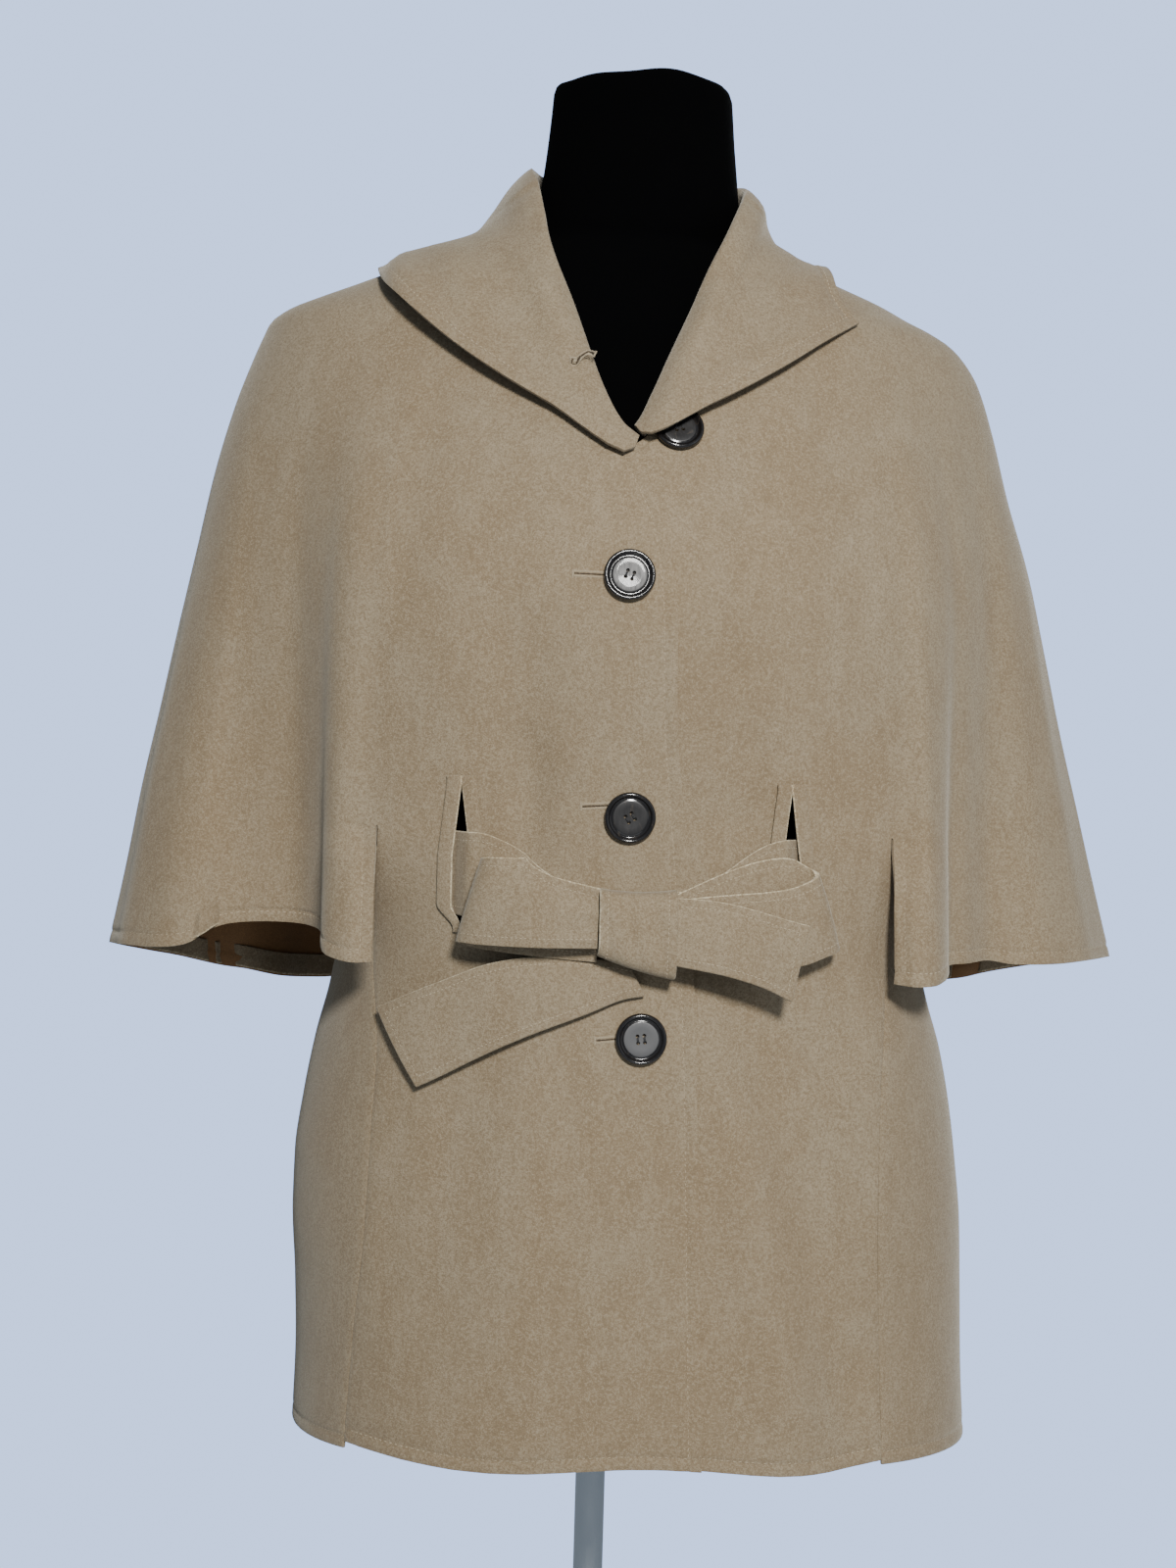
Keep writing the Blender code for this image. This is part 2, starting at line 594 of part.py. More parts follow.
def front(right):
    cloth = Cloth()
    split = SPLIT_R if right else SPLIT_L
    slit = SLIT_COL_R if right else SLIT_COL_L
    edge = OVER_EDGE if right else UNDER_EDGE
    top = TOP_EDGE_R if right else TOP_EDGE_L
    upper = None
    last = len(split) - 1

    def start(z):
        return curve(top, z) if z > V_Z + 0.0001 else curve(edge, z)

    def trunk_row(z, name, low=False, seam=0.0):
        x0, x1 = start(z), slash_x(z, right)
        x1 += seam if right else -seam
        keys = []
        for j, t in enumerate(split):
            x = x0 + (x1 - x0) * t
            h = body_hem(x) if low else z
            n = trunk_normal(x, h, False)
            p = trunk(x, h) + n * lap_offset(x, h, right)
            if j == last and (z == SLASH_Z or z == LOW_LEVELS[0]):
                n = np.array([0.0, n[1], n[2]])
            key = (name, j)
            cloth.point(key, p, n)
            keys.append(key)
        return keys

    def cape_row(zs, name, skip_first):
        keys = []
        for k in range(CAPE_COLUMNS + 1):
            q = k / CAPE_COLUMNS
            z = zs(q)
            key = (name, last + k)
            if k == 0 and skip_first:
                keys.append(key)
                continue
            n = cape_normal(z, q, right, False)
            p = cape(z, q, right)
            if k == 0:
                p = p + np.array([-SLASH_GAP if right else SLASH_GAP, 0.0, 0.0])
            if k == CAPE_COLUMNS:
                p = p + np.array([0.0, -SEAM / 2, 0.0])
                n = np.array([n[0], 0.0, n[2]])
            cloth.point(key, p, n)
            keys.append(key)
        return keys

    for i, z in enumerate(LEVELS):
        name = f"u{i}"
        keys = trunk_row(z, name) + cape_row(lambda q: z, name, True)[1:]
        if upper:
            for j in range(len(keys) - 1):
                if z < SLIT_TOP - 0.0001 and j == slit:
                    continue
                cloth.face(upper[j], upper[j + 1], keys[j + 1], keys[j])
        upper = keys
    body_row = upper[: last + 1]
    cape_top = upper[last:]
    for i, z in enumerate(LOW_LEVELS):
        low = i == len(LOW_LEVELS) - 1
        keys = trunk_row(z, f"b{i}", low, SEAM / 2)
        for j in range(last):
            if z > SLIT_LOW - 0.0001 and j == slit:
                continue
            cloth.face(body_row[j], body_row[j + 1], keys[j + 1], keys[j])
        body_row = keys
    for i, share in enumerate(CAPE_DROP):
        keys = cape_row(lambda q: SLASH_Z + (hem_height(q, right) - SLASH_Z) * share, f"c{i}", False)
        cloth.strip(cape_top, keys)
        cape_top = keys
    return cloth.build("front_right" if right else "front_left", CLOTH)


def back(right):
    """Half of the back with its cape, from the centre seam to the cape's outermost line."""
    cloth = Cloth()
    half = BACK_COLUMNS // 2
    columns = range(half + 1) if right else range(half, BACK_COLUMNS + 1)

    def trunk_row(z, name, low=False, seam=0.0):
        x0, x1 = slash_x(z, True, True) + seam, slash_x(z, False, True) - seam
        keys = []
        for j in columns:
            x = x0 + (x1 - x0) * j / BACK_COLUMNS
            if j == half:
                x += -SEAM / 2 if right else SEAM / 2
            h = body_hem(x) - 0.004 if low else z
            key = (name, j)
            n = trunk_normal(x, h, True)
            if j == half or j in (0, BACK_COLUMNS) and (z == SLASH_Z or z == LOW_LEVELS[0]):
                n = np.array([0.0, n[1], n[2]])
            cloth.point(key, trunk(x, h, True), n)
            keys.append(key)
        return keys

    def cape_row(zs, name, first):
        keys = []
        for k in range(BACK_CAPE_COLUMNS + 1):
            q = k / BACK_CAPE_COLUMNS
            z = zs(q)
            key = first if k == 0 and first else (name, "c", k)
            if not (k == 0 and first):
                n = cape_normal(z, q, right, True)
                p = cape(z, q, right, True)
                if k == 0:
                    p = p + np.array([-SLASH_GAP if right else SLASH_GAP, 0.0, 0.0])
                if k == BACK_CAPE_COLUMNS:
                    p = p + np.array([0.0, SEAM / 2, 0.0])
                    n = np.array([n[0], 0.0, n[2]])
                cloth.point(key, p, n)
            keys.append(key)
        return keys[::-1] if right else keys

    upper = None
    for i, z in enumerate(LEVELS):
        name = f"u{i}"
        mid = trunk_row(z, name)
        top = cape_row(lambda q: z, name, mid[0] if right else mid[-1])
        keys = top + mid[1:] if right else mid[:-1] + top
        if upper:
            cloth.strip(upper, keys)
        upper = keys
    for i, z in enumerate(LOW_LEVELS):
        keys = trunk_row(z, f"b{i}", i == len(LOW_LEVELS) - 1, SEAM / 2)
        cloth.strip(mid, keys)
        mid = keys
    for i, share in enumerate(CAPE_DROP):
        keys = cape_row(lambda q: SLASH_Z + (hem_height(q, right, True) - SLASH_Z) * share, f"c{i}", None)
        cloth.strip(top, keys)
        top = keys
    return cloth.build("back_right" if right else "back_left", CLOTH)


def side_panel(right):
    cloth = Cloth()
    top = None
    levels = (0.998,) + LOW_LEVELS[1:]
    for i, z in enumerate(levels):
        low = i == len(levels) - 1
        keys = []
        for k in range(SIDE_COLUMNS + 1):
            t = k / SIDE_COLUMNS
            h = z
            if i == 0:
                h = z + 0.014 * math.sin(math.pi * t)
            if low:
                h = HEM_Z - 0.004 * math.sin(math.pi * t) - 0.002
            p = side(h, t, right)
            e = 0.01
            if k == 0:
                around = trunk(p[0] + 0.002, h) - trunk(p[0] - 0.002, h)
            elif k == SIDE_COLUMNS:
                around = trunk(p[0] + 0.002, h, True) - trunk(p[0] - 0.002, h, True)
            else:
                around = side(h, t + e, right) - side(h, t - e, right)
            up = side(h + 0.002, t, right) - side(h - 0.002, t, right)
            n = facing(np.cross(around, up), away_from_axis(p))
            if i == 0 and k in (0, SIDE_COLUMNS):
                n = np.array([0.0, n[1], n[2]])
            if k in (0, SIDE_COLUMNS):
                shift = around / np.linalg.norm(around) * (SEAM / 2 if i > 1 else SEAM * 2)
                outward = -1.0 if right else 1.0
                p = p + shift * math.copysign(1.0, shift[0] * outward)
            cloth.point((i, k), p, n)
            keys.append((i, k))
        if top:
            cloth.strip(top, keys)
        top = keys
    return cloth.build("side_right" if right else "side_left", CLOTH)


def gap_to_shell(p):
    """Rough distance of a point from the upper jacket's middle surface, over 0 outside."""

    def g(x, y, z):
        m = curve(MIDDLE, z)
        if z > NECK_Z:
            grow = (z - NECK_Z) * 2.4
            wr, wl = m - outline(NECK_Z, True) - grow, outline(NECK_Z, False) - m - grow
            d = curve(DEPTH, NECK_Z, 1 if y < 0 else 2) - grow * 0.3
        else:
            wr, wl = m - outline(z, True), outline(z, False) - m
            d = curve(DEPTH, z, 1 if y < 0 else 2)
        w = max(wr if x < m else wl, 0.01)
        return ((x - m) / w) ** 2 + (abs(y) / max(d, 0.01)) ** (2 / curve(POINT, z)) - 1

    e = 0.0005
    v = g(*p)
    grad = np.array(
        [
            (g(p[0] + e, p[1], p[2]) - g(p[0] - e, p[1], p[2])) / (2 * e),
            (g(p[0], p[1] + e, p[2]) - g(p[0], p[1] - e, p[2])) / (2 * e),
            (g(p[0], p[1], p[2] + e) - g(p[0], p[1], p[2] - e)) / (2 * e),
        ]
    )
    size = max(np.linalg.norm(grad), 1e-6)
    return v / size, grad / size


def lift(p, least):
    """Moves a point outwards until it lies at least this far from the upper jacket."""
    p = np.array(p, float)
    for _ in range(6):
        d, n = gap_to_shell(p)
        if d >= least:
            break
        p = p + n * (least - d)
    return p


def top_edge(right, place):
    """Point, inward direction and normal on a front's top edge, at a height."""
    table = TOP_EDGE_R if right else TOP_EDGE_L

    def at(z):
        x = curve(table, z)
        return trunk(x, z) + trunk_normal(x, z, False) * lap_offset(x, z, right)

    z = min(place, 1.3500)
    p, t = at(place), at(z + 0.0015) - at(z - 0.0015)
    n = trunk_normal(p[0], p[2], False)
    inward = np.cross(n, t)
    inward = inward / np.linalg.norm(inward)
    return p, facing(inward, np.array([0.006, 0.0, p[2] + 0.05]) - p), n


def spread(rows, k, f):
    """Smooth value between rows k and k + 1."""
    a, b = rows[k], rows[k + 1]
    before = rows[k - 1] if k else 2 * a - b
    after = rows[k + 2] if k + 2 < len(rows) else 2 * b - a
    second = 2 * before - 5 * a + 4 * b - after
    third = 3 * a - before - 3 * b + after
    return 0.5 * (2 * a + (b - before) * f + second * f * f + third * f**3)


def collar_section(u):
    """Points of the collar's section at share u, from the foot of the V on the right to the one on the left."""
    right = u <= 0.5
    stations = COLLAR_R if right else COLLAR_L
    s = (u if right else 1 - u) * 2 * (len(stations) - 1)
    k = min(int(s), len(stations) - 2)
    f = s - k
    if s <= 5:
        heights = np.array([st[0] for st in stations[:6]])
        j = min(k, 4)
        place = min(max(float(spread(heights, j, s - j)), stations[0][0]), 1.35199)
        edge, inward, n = top_edge(right, place)
    else:
        corner = abs(math.degrees(shell_angle(NECK_Z, curve(TOP_EDGE_R if right else TOP_EDGE_L, NECK_Z))))
        turn = corner + (180 - corner) * (s - 5) / 4
        edge, inward, n = top_edge_back(-turn if right else turn)
    neck = smooth((s - 2.7) / 1.5)
    outer = lift(spread([np.array(st[2]) for st in stations], k, f), COLLAR_LIFT)
    off = math.exp(-((s / 1.3) ** 2))
    foot = edge + inward * (COLLAR_GAP + 0.0006 * math.exp(-(((s - 5) / 0.8) ** 2)))
    bend = edge + inward * 0.0034 + n * 0.0003 + np.array([0.0, 0.0, 0.0006 * neck])
    wall = edge + inward * 0.0060 + n * 0.0006
    roll = edge + inward * ROLL_IN + n * ROLL_UP
    fall = edge + inward * 0.0042 + n * 0.0058
    if neck > 0:
        rolls = [np.array(st[1], float) for st in stations[4:]]
        at = spread(rolls, k - 4, f) if s >= 4 else rolls[0] + (rolls[0] - rolls[1]) * (4 - s)
        out = np.array([-inward[0], -inward[1], 0.0])
        out = out / np.linalg.norm(out)
        up = np.array([0.0, 0.0, 1.0])
        wall = wall * (1 - neck) + (bend * 0.42 + (at - up * 0.004) * 0.58) * neck
        roll = roll * (1 - neck) + (at + out * 0.0032) * neck
        fall = fall * (1 - neck) + (at + out * 0.0096 - up * 0.0050) * neck
    reach = max(0.0, 1 - s / 3.0) ** 1.5
    sag = [np.array([0.0, 0.0, -d * reach]) for d in REVERS_SAG[right]]
    fall = lift(fall + sag[0], 0.0060)
    bulge = np.array([0.0, 0.0, 0.004 * neck])
    first = lift(fall * 0.70 + outer * 0.30 + bulge + sag[1], 0.0058 + 0.0034 * off)
    second = lift(fall * 0.42 + outer * 0.58 + bulge * 0.7 + sag[2], 0.0050 + 0.0046 * off)
    third = lift(fall * 0.18 + outer * 0.82 + sag[3], 0.0044 + 0.0026 * off)
    return foot, bend, wall, roll, fall, first, second, third, outer


def top_edge_back(turn):
    """The same at the back, at an angle of 90 to 180 degrees from the front."""
    a = math.radians(turn)
    p = shell(NECK_Z, a)
    t = shell(NECK_Z, a + 0.02) - shell(NECK_Z, a - 0.02)
    down = shell(NECK_Z - 0.003, a) - p
    n = facing(np.cross(t, down), away_from_axis(p))
    n = n / np.linalg.norm(n)
    inward = np.cross(n, t)
    inward = inward / np.linalg.norm(inward)
    return p, facing(inward, np.array([0.006, 0.0, p[2] + 0.05]) - p), n


def through(points, t):
    """Point at place t, in numbers of points, of a smooth line through unevenly spaced points."""
    k = min(int(t), len(points) - 2)
    u = t - k
    h = [max(np.linalg.norm(b - a), 1e-6) for a, b in zip(points, points[1:])]

    def slope(i):
        if i == 0:
            return (points[1] - points[0]) / h[0]
        if i == len(points) - 1:
            return (points[-1] - points[-2]) / h[-1]
        before, after = (points[i] - points[i - 1]) / h[i - 1], (points[i + 1] - points[i]) / h[i]
        return (before * h[i] + after * h[i - 1]) / (h[i - 1] + h[i])

    return (
        points[k] * (1 + 2 * u) * (1 - u) ** 2
        + slope(k) * h[k] * u * (1 - u) ** 2
        + points[k + 1] * u * u * (3 - 2 * u)
        + slope(k + 1) * h[k] * u * u * (u - 1)
    )


def collar():
    cloth = Cloth()
    grid = []
    for i in range(COLLAR_COLUMNS + 1):
        section = collar_section(i / COLLAR_COLUMNS)
        grid.append([through(section, v) for v in COLLAR_V])
    g = np.array(grid)
    for i in range(g.shape[0]):
        for j in range(g.shape[1]):
            a = g[min(i + 1, g.shape[0] - 1), j] - g[max(i - 1, 0), j]
            b = g[i, min(j + 1, g.shape[1] - 1)] - g[i, max(j - 1, 0)]
            cloth.point((i, j), g[i, j], np.cross(a, b))
    for i in range(g.shape[0] - 1):
        for j in range(g.shape[1] - 1):
            cloth.face((i, j), (i, j + 1), (i + 1, j + 1), (i + 1, j))
    return cloth.build("collar", CLOTH)


def lathe(name, profile, kind, segments=48, at=(0.0, 0.0, 0.0), axis=(0.0, 0.0, 1.0)):
    """Solid of revolution; the profile's first and last radius are 0."""
    axis = np.array(axis, float) / np.linalg.norm(axis)
    helper = np.array([1.0, 0.0, 0.0]) if abs(axis[0]) < 0.9 else np.array([0.0, 1.0, 0.0])
    u = np.cross(axis, helper)
    u = u / np.linalg.norm(u)
    v = np.cross(axis, u)
    verts, faces, rings = [], [], []
    for r, h in profile:
        if r == 0:
            rings.append([len(verts)])
            verts.append(np.array(at) + axis * h)
            continue
        rings.append(list(range(len(verts), len(verts) + segments)))
        for k in range(segments):
            a = 2 * math.pi * k / segments
            verts.append(np.array(at) + axis * h + (u * math.cos(a) + v * math.sin(a)) * r)
    for low, high in zip(rings, rings[1:]):
        for k in range(segments):
            m = (k + 1) % segments
            if len(low) == 1:
                faces.append([low[0], high[m], high[k]])
            elif len(high) == 1:
                faces.append([low[k], low[m], high[0]])
            else:
                faces.append([low[k], low[m], high[m], high[k]])
    return add(name, verts, faces, kind)


def form_point(z, a):
    mid = (curve(FORM, z, 1) + curve(FORM, z, 2)) / 2
    s, c = math.sin(a), math.cos(a)
    w = mid - curve(FORM, z, 1) if s < 0 else curve(FORM, z, 2) - mid
    d = curve(FORM, z, 3 if c > 0 else 4)
    return np.array([mid + w * s, -d * signed_power(c, curve(FORM_POINT, z)), z])


def dress_form():
    verts, faces = [], []
    rows = []

    def ring(scale, z, level):
        row = []
        for k in range(FORM_SIDES):
            p = form_point(level, 2 * math.pi * k / FORM_SIDES)
            m = np.array([(curve(FORM, level, 1) + curve(FORM, level, 2)) / 2, 0.0, z])
            q = m + (p - np.array([0, 0, level]) + np.array([0, 0, z]) - m) * scale
            row.append(len(verts))
            verts.append(q)
        rows.append(row)

    ring(0.94, 1.448, 1.448)
    ring(1.0, 1.444, 1.444)
    for z in FORM_LEVELS[1:]:
        ring(1.0, z, z)
    ring(0.985, 0.7335, 0.740)
    ring(0.95, FORM_LOW, 0.740)
    for high, low in zip(rows, rows[1:]):
        for k in range(FORM_SIDES):
            m = (k + 1) % FORM_SIDES
            faces.append([high[k], high[m], low[m], low[k]])
    faces.append(rows[0])
    faces.append(list(reversed(rows[-1])))
    return add("dress_form", verts, faces, "cover", 50.0)


def stand():
    lathe(
        "base_plate",
        [(0, 0), (BASE_R, 0), (BASE_R, BASE_T - 0.004), (BASE_R - 0.005, BASE_T), (0.027, BASE_T),
         (0.024, BASE_T + 0.022), (0, BASE_T + 0.022)],
        "chrome",
        48,
        (POLE_X, 0.0, 0.0),
    )
    low = BASE_T + 0.022 + SEAM
    high = FORM_LOW - SOCKET_H
    top = FORM_LOW - SEAM
    lathe(
        "pole",
        [(0, low), (POLE_R, low), (POLE_R, high - SEAM), (0, high - SEAM)],
        "chrome",
        28,
        (POLE_X, 0.0, 0.0),
    )
    lathe(
        "pole_socket",
        [(0, high), (SOCKET_R, high), (SOCKET_R, high + 0.020), (FLANGE_R, high + 0.0255),
         (FLANGE_R, top), (0, top)],
        "chrome",
        28,
        (POLE_X, 0.0, 0.0),
    )


def button(number, x, z):
    right = number > 1
    n = trunk_normal(x, z, False)
    p = trunk(x, z) + n * (lap_offset(x, z, right) + CLOTH / 2 + SEAM)
    r, t = BUTTON_R, BUTTON_T
    profile = [(0, 0), (0.70 * r, 0), (0.96 * r, 0.25 * t), (r, 0.60 * t), (0.92 * r, t), (0.84 * r, 0.97 * t),
               (0.72 * r, 0.60 * t), (0, 0.60 * t)]
    lathe(f"button_{number}", profile, "horn", 20, p, n)


def welts(right):
    """Two narrow strips on the front, one along each edge of the belt slit."""
    split = SPLIT_R if right else SPLIT_L
    slit = SLIT_COL_R if right else SLIT_COL_L
    edge = OVER_EDGE if right else UNDER_EDGE

    def at(t, z):
        x0, x1 = curve(edge, z), slash_x(z, right)
        return x0 + (x1 - x0) * t

    sign = -1 if right else 1
    for part, share, out in (("inner", split[slit], -sign), ("outer", split[slit + 1], sign)):
        cloth = Cloth()
        zs = np.linspace(SLIT_TOP + 0.004, SLIT_LOW - 0.004, 8)
        top = None
        for i, z in enumerate(zs):
            keys = []
            for k, d in enumerate((-0.0014, 0.0025, 0.0062)):
                x = at(share, z) + out * d
                n = trunk_normal(x, z, False)
                p = trunk(x, z) + n * (lap_offset(x, z, right) + CLOTH / 2 + 2 * SEAM + 0.0007)
                cloth.point((i, k), p, n)
                keys.append((i, k))
            if top:
                cloth.strip(top, keys)
            top = keys
        cloth.build(f"welt_{'right' if right else 'left'}_{part}", 0.0014)


def belt_base(where, along, z):
    """Point and outward normal of the cloth that the belt follows: in front, on a side panel or on the back."""
    if where == "front":
        return trunk(along, z), trunk_normal(along, z, False)
    if where == "back":
        return trunk(along, z, True), trunk_normal(along, z, True)
    right = where == "side right"
    p = side(z, along, right)
    around = side(z, along + 0.01, right) - side(z, along - 0.01, right)
    up = side(z + 0.002, along, right) - side(z - 0.002, along, right)
    n = facing(np.cross(around, up), away_from_axis(p))
    return p, n / np.linalg.norm(n)


def slit_x(z, right):
    """x of the middle of a belt slit."""
    split = SPLIT_R if right else SPLIT_L
    slit = SLIT_COL_R if right else SLIT_COL_L
    x0 = curve(OVER_EDGE if right else UNDER_EDGE, z)
    return x0 + (slash_x(z, right) - x0) * (split[slit] + split[slit + 1]) / 2


def belt_rise(x, z):
    """Offset of the belt from the front: inside it past the slit, outside it towards the knot."""
    right = x < 0.01
    middle = slit_x(z, right)
    past = (x - middle) if right else (middle - x)
    return BELT_IN + (BELT_OUT - BELT_IN) * smooth((past + 0.0065) / 0.013)


def ribbon(name, rows):
    """A strip of belt from rows of points across it."""
    g = np.array(rows)
    cloth = Cloth()
    n_i, n_j = g.shape[:2]
    for i in range(n_i):
        for j in range(n_j):
            a = g[min(i + 1, n_i - 1), j] - g[max(i - 1, 0), j]
            b = g[i, min(j + 1, n_j - 1)] - g[i, max(j - 1, 0)]
            cloth.point((i, j), g[i, j], np.cross(a, b))
    for i in range(n_i - 1):
        for j in range(n_j - 1):
            cloth.face((i, j), (i, j + 1), (i + 1, j + 1), (i + 1, j))
    return cloth.build(name, BELT_T)


def belt_waist():
    right_slit, left_slit = slit_x(BELT_Z, True), slit_x(BELT_Z, False)
    stations = [("front", x) for x in (-0.0080, -0.027, -0.046, -0.064)]
    stations += [("front", right_slit + 0.0075 - 0.015 * k / 6) for k in range(7)]
    stations += [("front", -0.104), ("front", -0.119)]
    stations += [("side right", t) for t in (0.04, 0.17, 0.30, 0.43, 0.56, 0.69, 0.82, 0.95)]
    stations += [("back", x) for x in np.linspace(-0.104, 0.120, 9)]
    stations += [("side left", t) for t in (0.95, 0.82, 0.69, 0.56, 0.43, 0.30, 0.17, 0.04)]
    stations += [("front", 0.139), ("front", 0.121)]
    stations += [("front", left_slit + 0.0075 - 0.015 * k / 6) for k in range(7)]
    stations += [("front", x) for x in (0.072, 0.058, 0.041, 0.0221)]
    rows = []
    for where, along in stations:
        mid, width = BELT_Z, BELT_W
        if where == "front":
            towards = smooth((0.084 - abs(along - 0.007)) / 0.06)
            mid = BELT_Z - 0.024 * towards
            width = BELT_W - 0.010 * towards
        row = []
        for s in ACROSS:
            z = mid + width * s
            p, n = belt_base(where, along, z)
            h = belt_rise(along, z) if where == "front" else BELT_SIDE_IN
            row.append(p + n * h)
        rows.append(row)
    return ribbon("belt_waist", rows)


def bow_piece(name, stations):
    """Strip lying over the fronts. Stations: x, z, height over the front, lean in degrees, width."""
    rows = []
    table = [np.array(s, float) for s in stations]
    steps = 2
    for k in range(len(table) - 1):
        for m in range(steps):
            rows.append(spread(table, k, m / steps))
    rows.append(table[-1])
    grid = []
    for x, z, h, lean, width in rows:
        a = math.radians(lean)
        row = []
        for s in ACROSS:
            px, pz = x + math.sin(a) * width * s, z + math.cos(a) * width * s
            n = trunk_normal(px, pz, False)
            row.append(trunk(px, pz) + n * (h - 0.0016 * (2 * abs(s)) ** 2))
        grid.append(row)
    return ribbon(name, grid)


def belt_knot():
    """Rounded lump of cloth, flat at the front."""
    x, z, h = KNOT
    n = trunk_normal(x, z, False)
    center = trunk(x, z) + n * h
    verts, faces, rings = [], [], []
    across = np.array([1.0, 0.0, 0.0])
    up = np.array([0.0, 0.0, 1.0])
    out = np.array([0.0, -1.0, 0.0])
    sides, bands = 18, 8
    for i in range(bands + 1):
        b = math.pi * i / bands - math.pi / 2
        if i in (0, bands):
            rings.append([len(verts)])
            verts.append(center + out * 0.0108 * math.sin(b))
            continue
        ring = []
        for k in range(sides):
            a = 2 * math.pi * k / sides
            r = abs(math.cos(b)) ** 0.45
            px = 0.0196 * r * signed_power(math.cos(a), 0.42)
            pz = 0.0225 * r * signed_power(math.sin(a), 0.42) - 0.0015 * math.cos(a)
            py = 0.0108 * signed_power(math.sin(b), 0.75)
            ring.append(len(verts))
            verts.append(center + across * px + up * pz + out * py)
        rings.append(ring)
    for low, high in zip(rings, rings[1:]):
        for k in range(sides):
            m = (k + 1) % sides
            if len(low) == 1:
                faces.append([low[0], high[m], high[k]])
            elif len(high) == 1:
                faces.append([low[k], low[m], high[0]])
            else:
                faces.append([low[k], low[m], high[m], high[k]])
    return add("belt_knot", verts, faces, "suede")


def bow():
    bow_piece(
        "belt_loop_right",
        [(-0.0115, 0.9640, 0.0220, 1, 0.0310), (-0.0400, 0.9672, 0.0264, 5, 0.0380),
         (-0.0620, 0.9716, 0.0255, 9, 0.0442), (-0.0710, 0.9728, 0.0228, 12, 0.0450),
         (-0.0745, 0.9722, 0.0185, 12, 0.0450), (-0.0710, 0.9705, 0.0142, 11, 0.0450),
         (-0.0620, 0.9680, 0.0120, 9, 0.0445), (-0.0400, 0.9620, 0.0112, 4, 0.0380),
         (-0.0115, 0.9560, 0.0115, 0, 0.0300)],
    )
    bow_piece(
        "belt_loop_left",
        [(0.0265, 0.9600, 0.0188, 0, 0.0280), (0.0560, 0.9598, 0.0205, -3, 0.0360),
         (0.0860, 0.9615, 0.0212, -9, 0.0400), (0.1010, 0.9662, 0.0200, -13, 0.0410),
         (0.1075, 0.9700, 0.0163, -16, 0.0420), (0.1020, 0.9735, 0.0126, -13, 0.0420),
         (0.0880, 0.9770, 0.0114, -8, 0.0420), (0.0560, 0.9708, 0.0112, 1, 0.0380),
         (0.0265, 0.9620, 0.0112, 0, 0.0280)],
    )
    bow_piece(
        "belt_end_left",
        [(0.0243, 0.9585, 0.0255, 0, 0.0360), (0.0460, 0.9550, 0.0270, 2, 0.0390),
         (0.0660, 0.9498, 0.0277, 7, 0.0402), (0.0900, 0.9433, 0.0270, 12, 0.0405)],
    )
    bow_piece(
        "belt_end_right",
        [(-0.0010, 0.9283, 0.0120, -30, 0.0200), (-0.0240, 0.9255, 0.0110, -27, 0.0350),
         (-0.0551, 0.9190, 0.0105, -27, 0.0425), (-0.0853, 0.9048, 0.0100, -27, 0.0445),
         (-0.1121, 0.8902, 0.0090, -27, 0.0445)],
    )


def main():
    for obj in list(bpy.data.objects):
        bpy.data.objects.remove(obj, do_unlink=True)
    dress_form()
    stand()
    front(True)
    front(False)
    back(True)
    back(False)
    side_panel(True)
    side_panel(False)
    collar()
    for number, (x, z) in enumerate(BUTTONS, 1):
        button(number, x, z)
    welts(True)
    welts(False)
    belt_waist()
    belt_knot()
    bow()


main()
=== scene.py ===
"""Suede cape jacket on a limbless dress form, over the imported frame. Metres, +Z up, front towards -Y."""
import math

import bmesh
import bpy
import numpy as np
from mathutils import Matrix, Vector


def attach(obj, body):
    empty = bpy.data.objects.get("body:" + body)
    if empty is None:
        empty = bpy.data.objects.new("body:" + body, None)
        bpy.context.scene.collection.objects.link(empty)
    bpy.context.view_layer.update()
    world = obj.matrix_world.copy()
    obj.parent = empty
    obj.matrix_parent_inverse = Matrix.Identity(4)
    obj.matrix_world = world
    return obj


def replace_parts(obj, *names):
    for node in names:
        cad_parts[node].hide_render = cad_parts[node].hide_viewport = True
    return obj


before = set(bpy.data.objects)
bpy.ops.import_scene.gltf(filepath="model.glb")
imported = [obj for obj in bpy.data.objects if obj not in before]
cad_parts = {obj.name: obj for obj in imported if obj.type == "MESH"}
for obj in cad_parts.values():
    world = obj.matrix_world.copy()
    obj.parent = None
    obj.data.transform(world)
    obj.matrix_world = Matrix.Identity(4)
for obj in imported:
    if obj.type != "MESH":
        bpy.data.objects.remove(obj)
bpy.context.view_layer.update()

# The solids' own sizes
CLOTH = 0.0020
SEAM = 0.0003
LAP = 0.0015
BELT_T = 0.0024
BELT_W = 0.045
BELT_OUT = 0.0054
BELT_IN = -0.0030
BELT_SIDE_IN = -0.0042
BELT_Z = 0.9855
NECK_Z = 1.352
V_Z = 1.2115
SLASH_Z = 1.010
SLIT_TOP = 1.034
SLIT_LOW = 0.958
HEM_Z = 0.672
BACK_SLASH = 0.125
SLASH_GAP = 0.0010
FOLD_TOP = 1.275
FOLD_POWER = 1.25
BODY_ROUND = 0.80

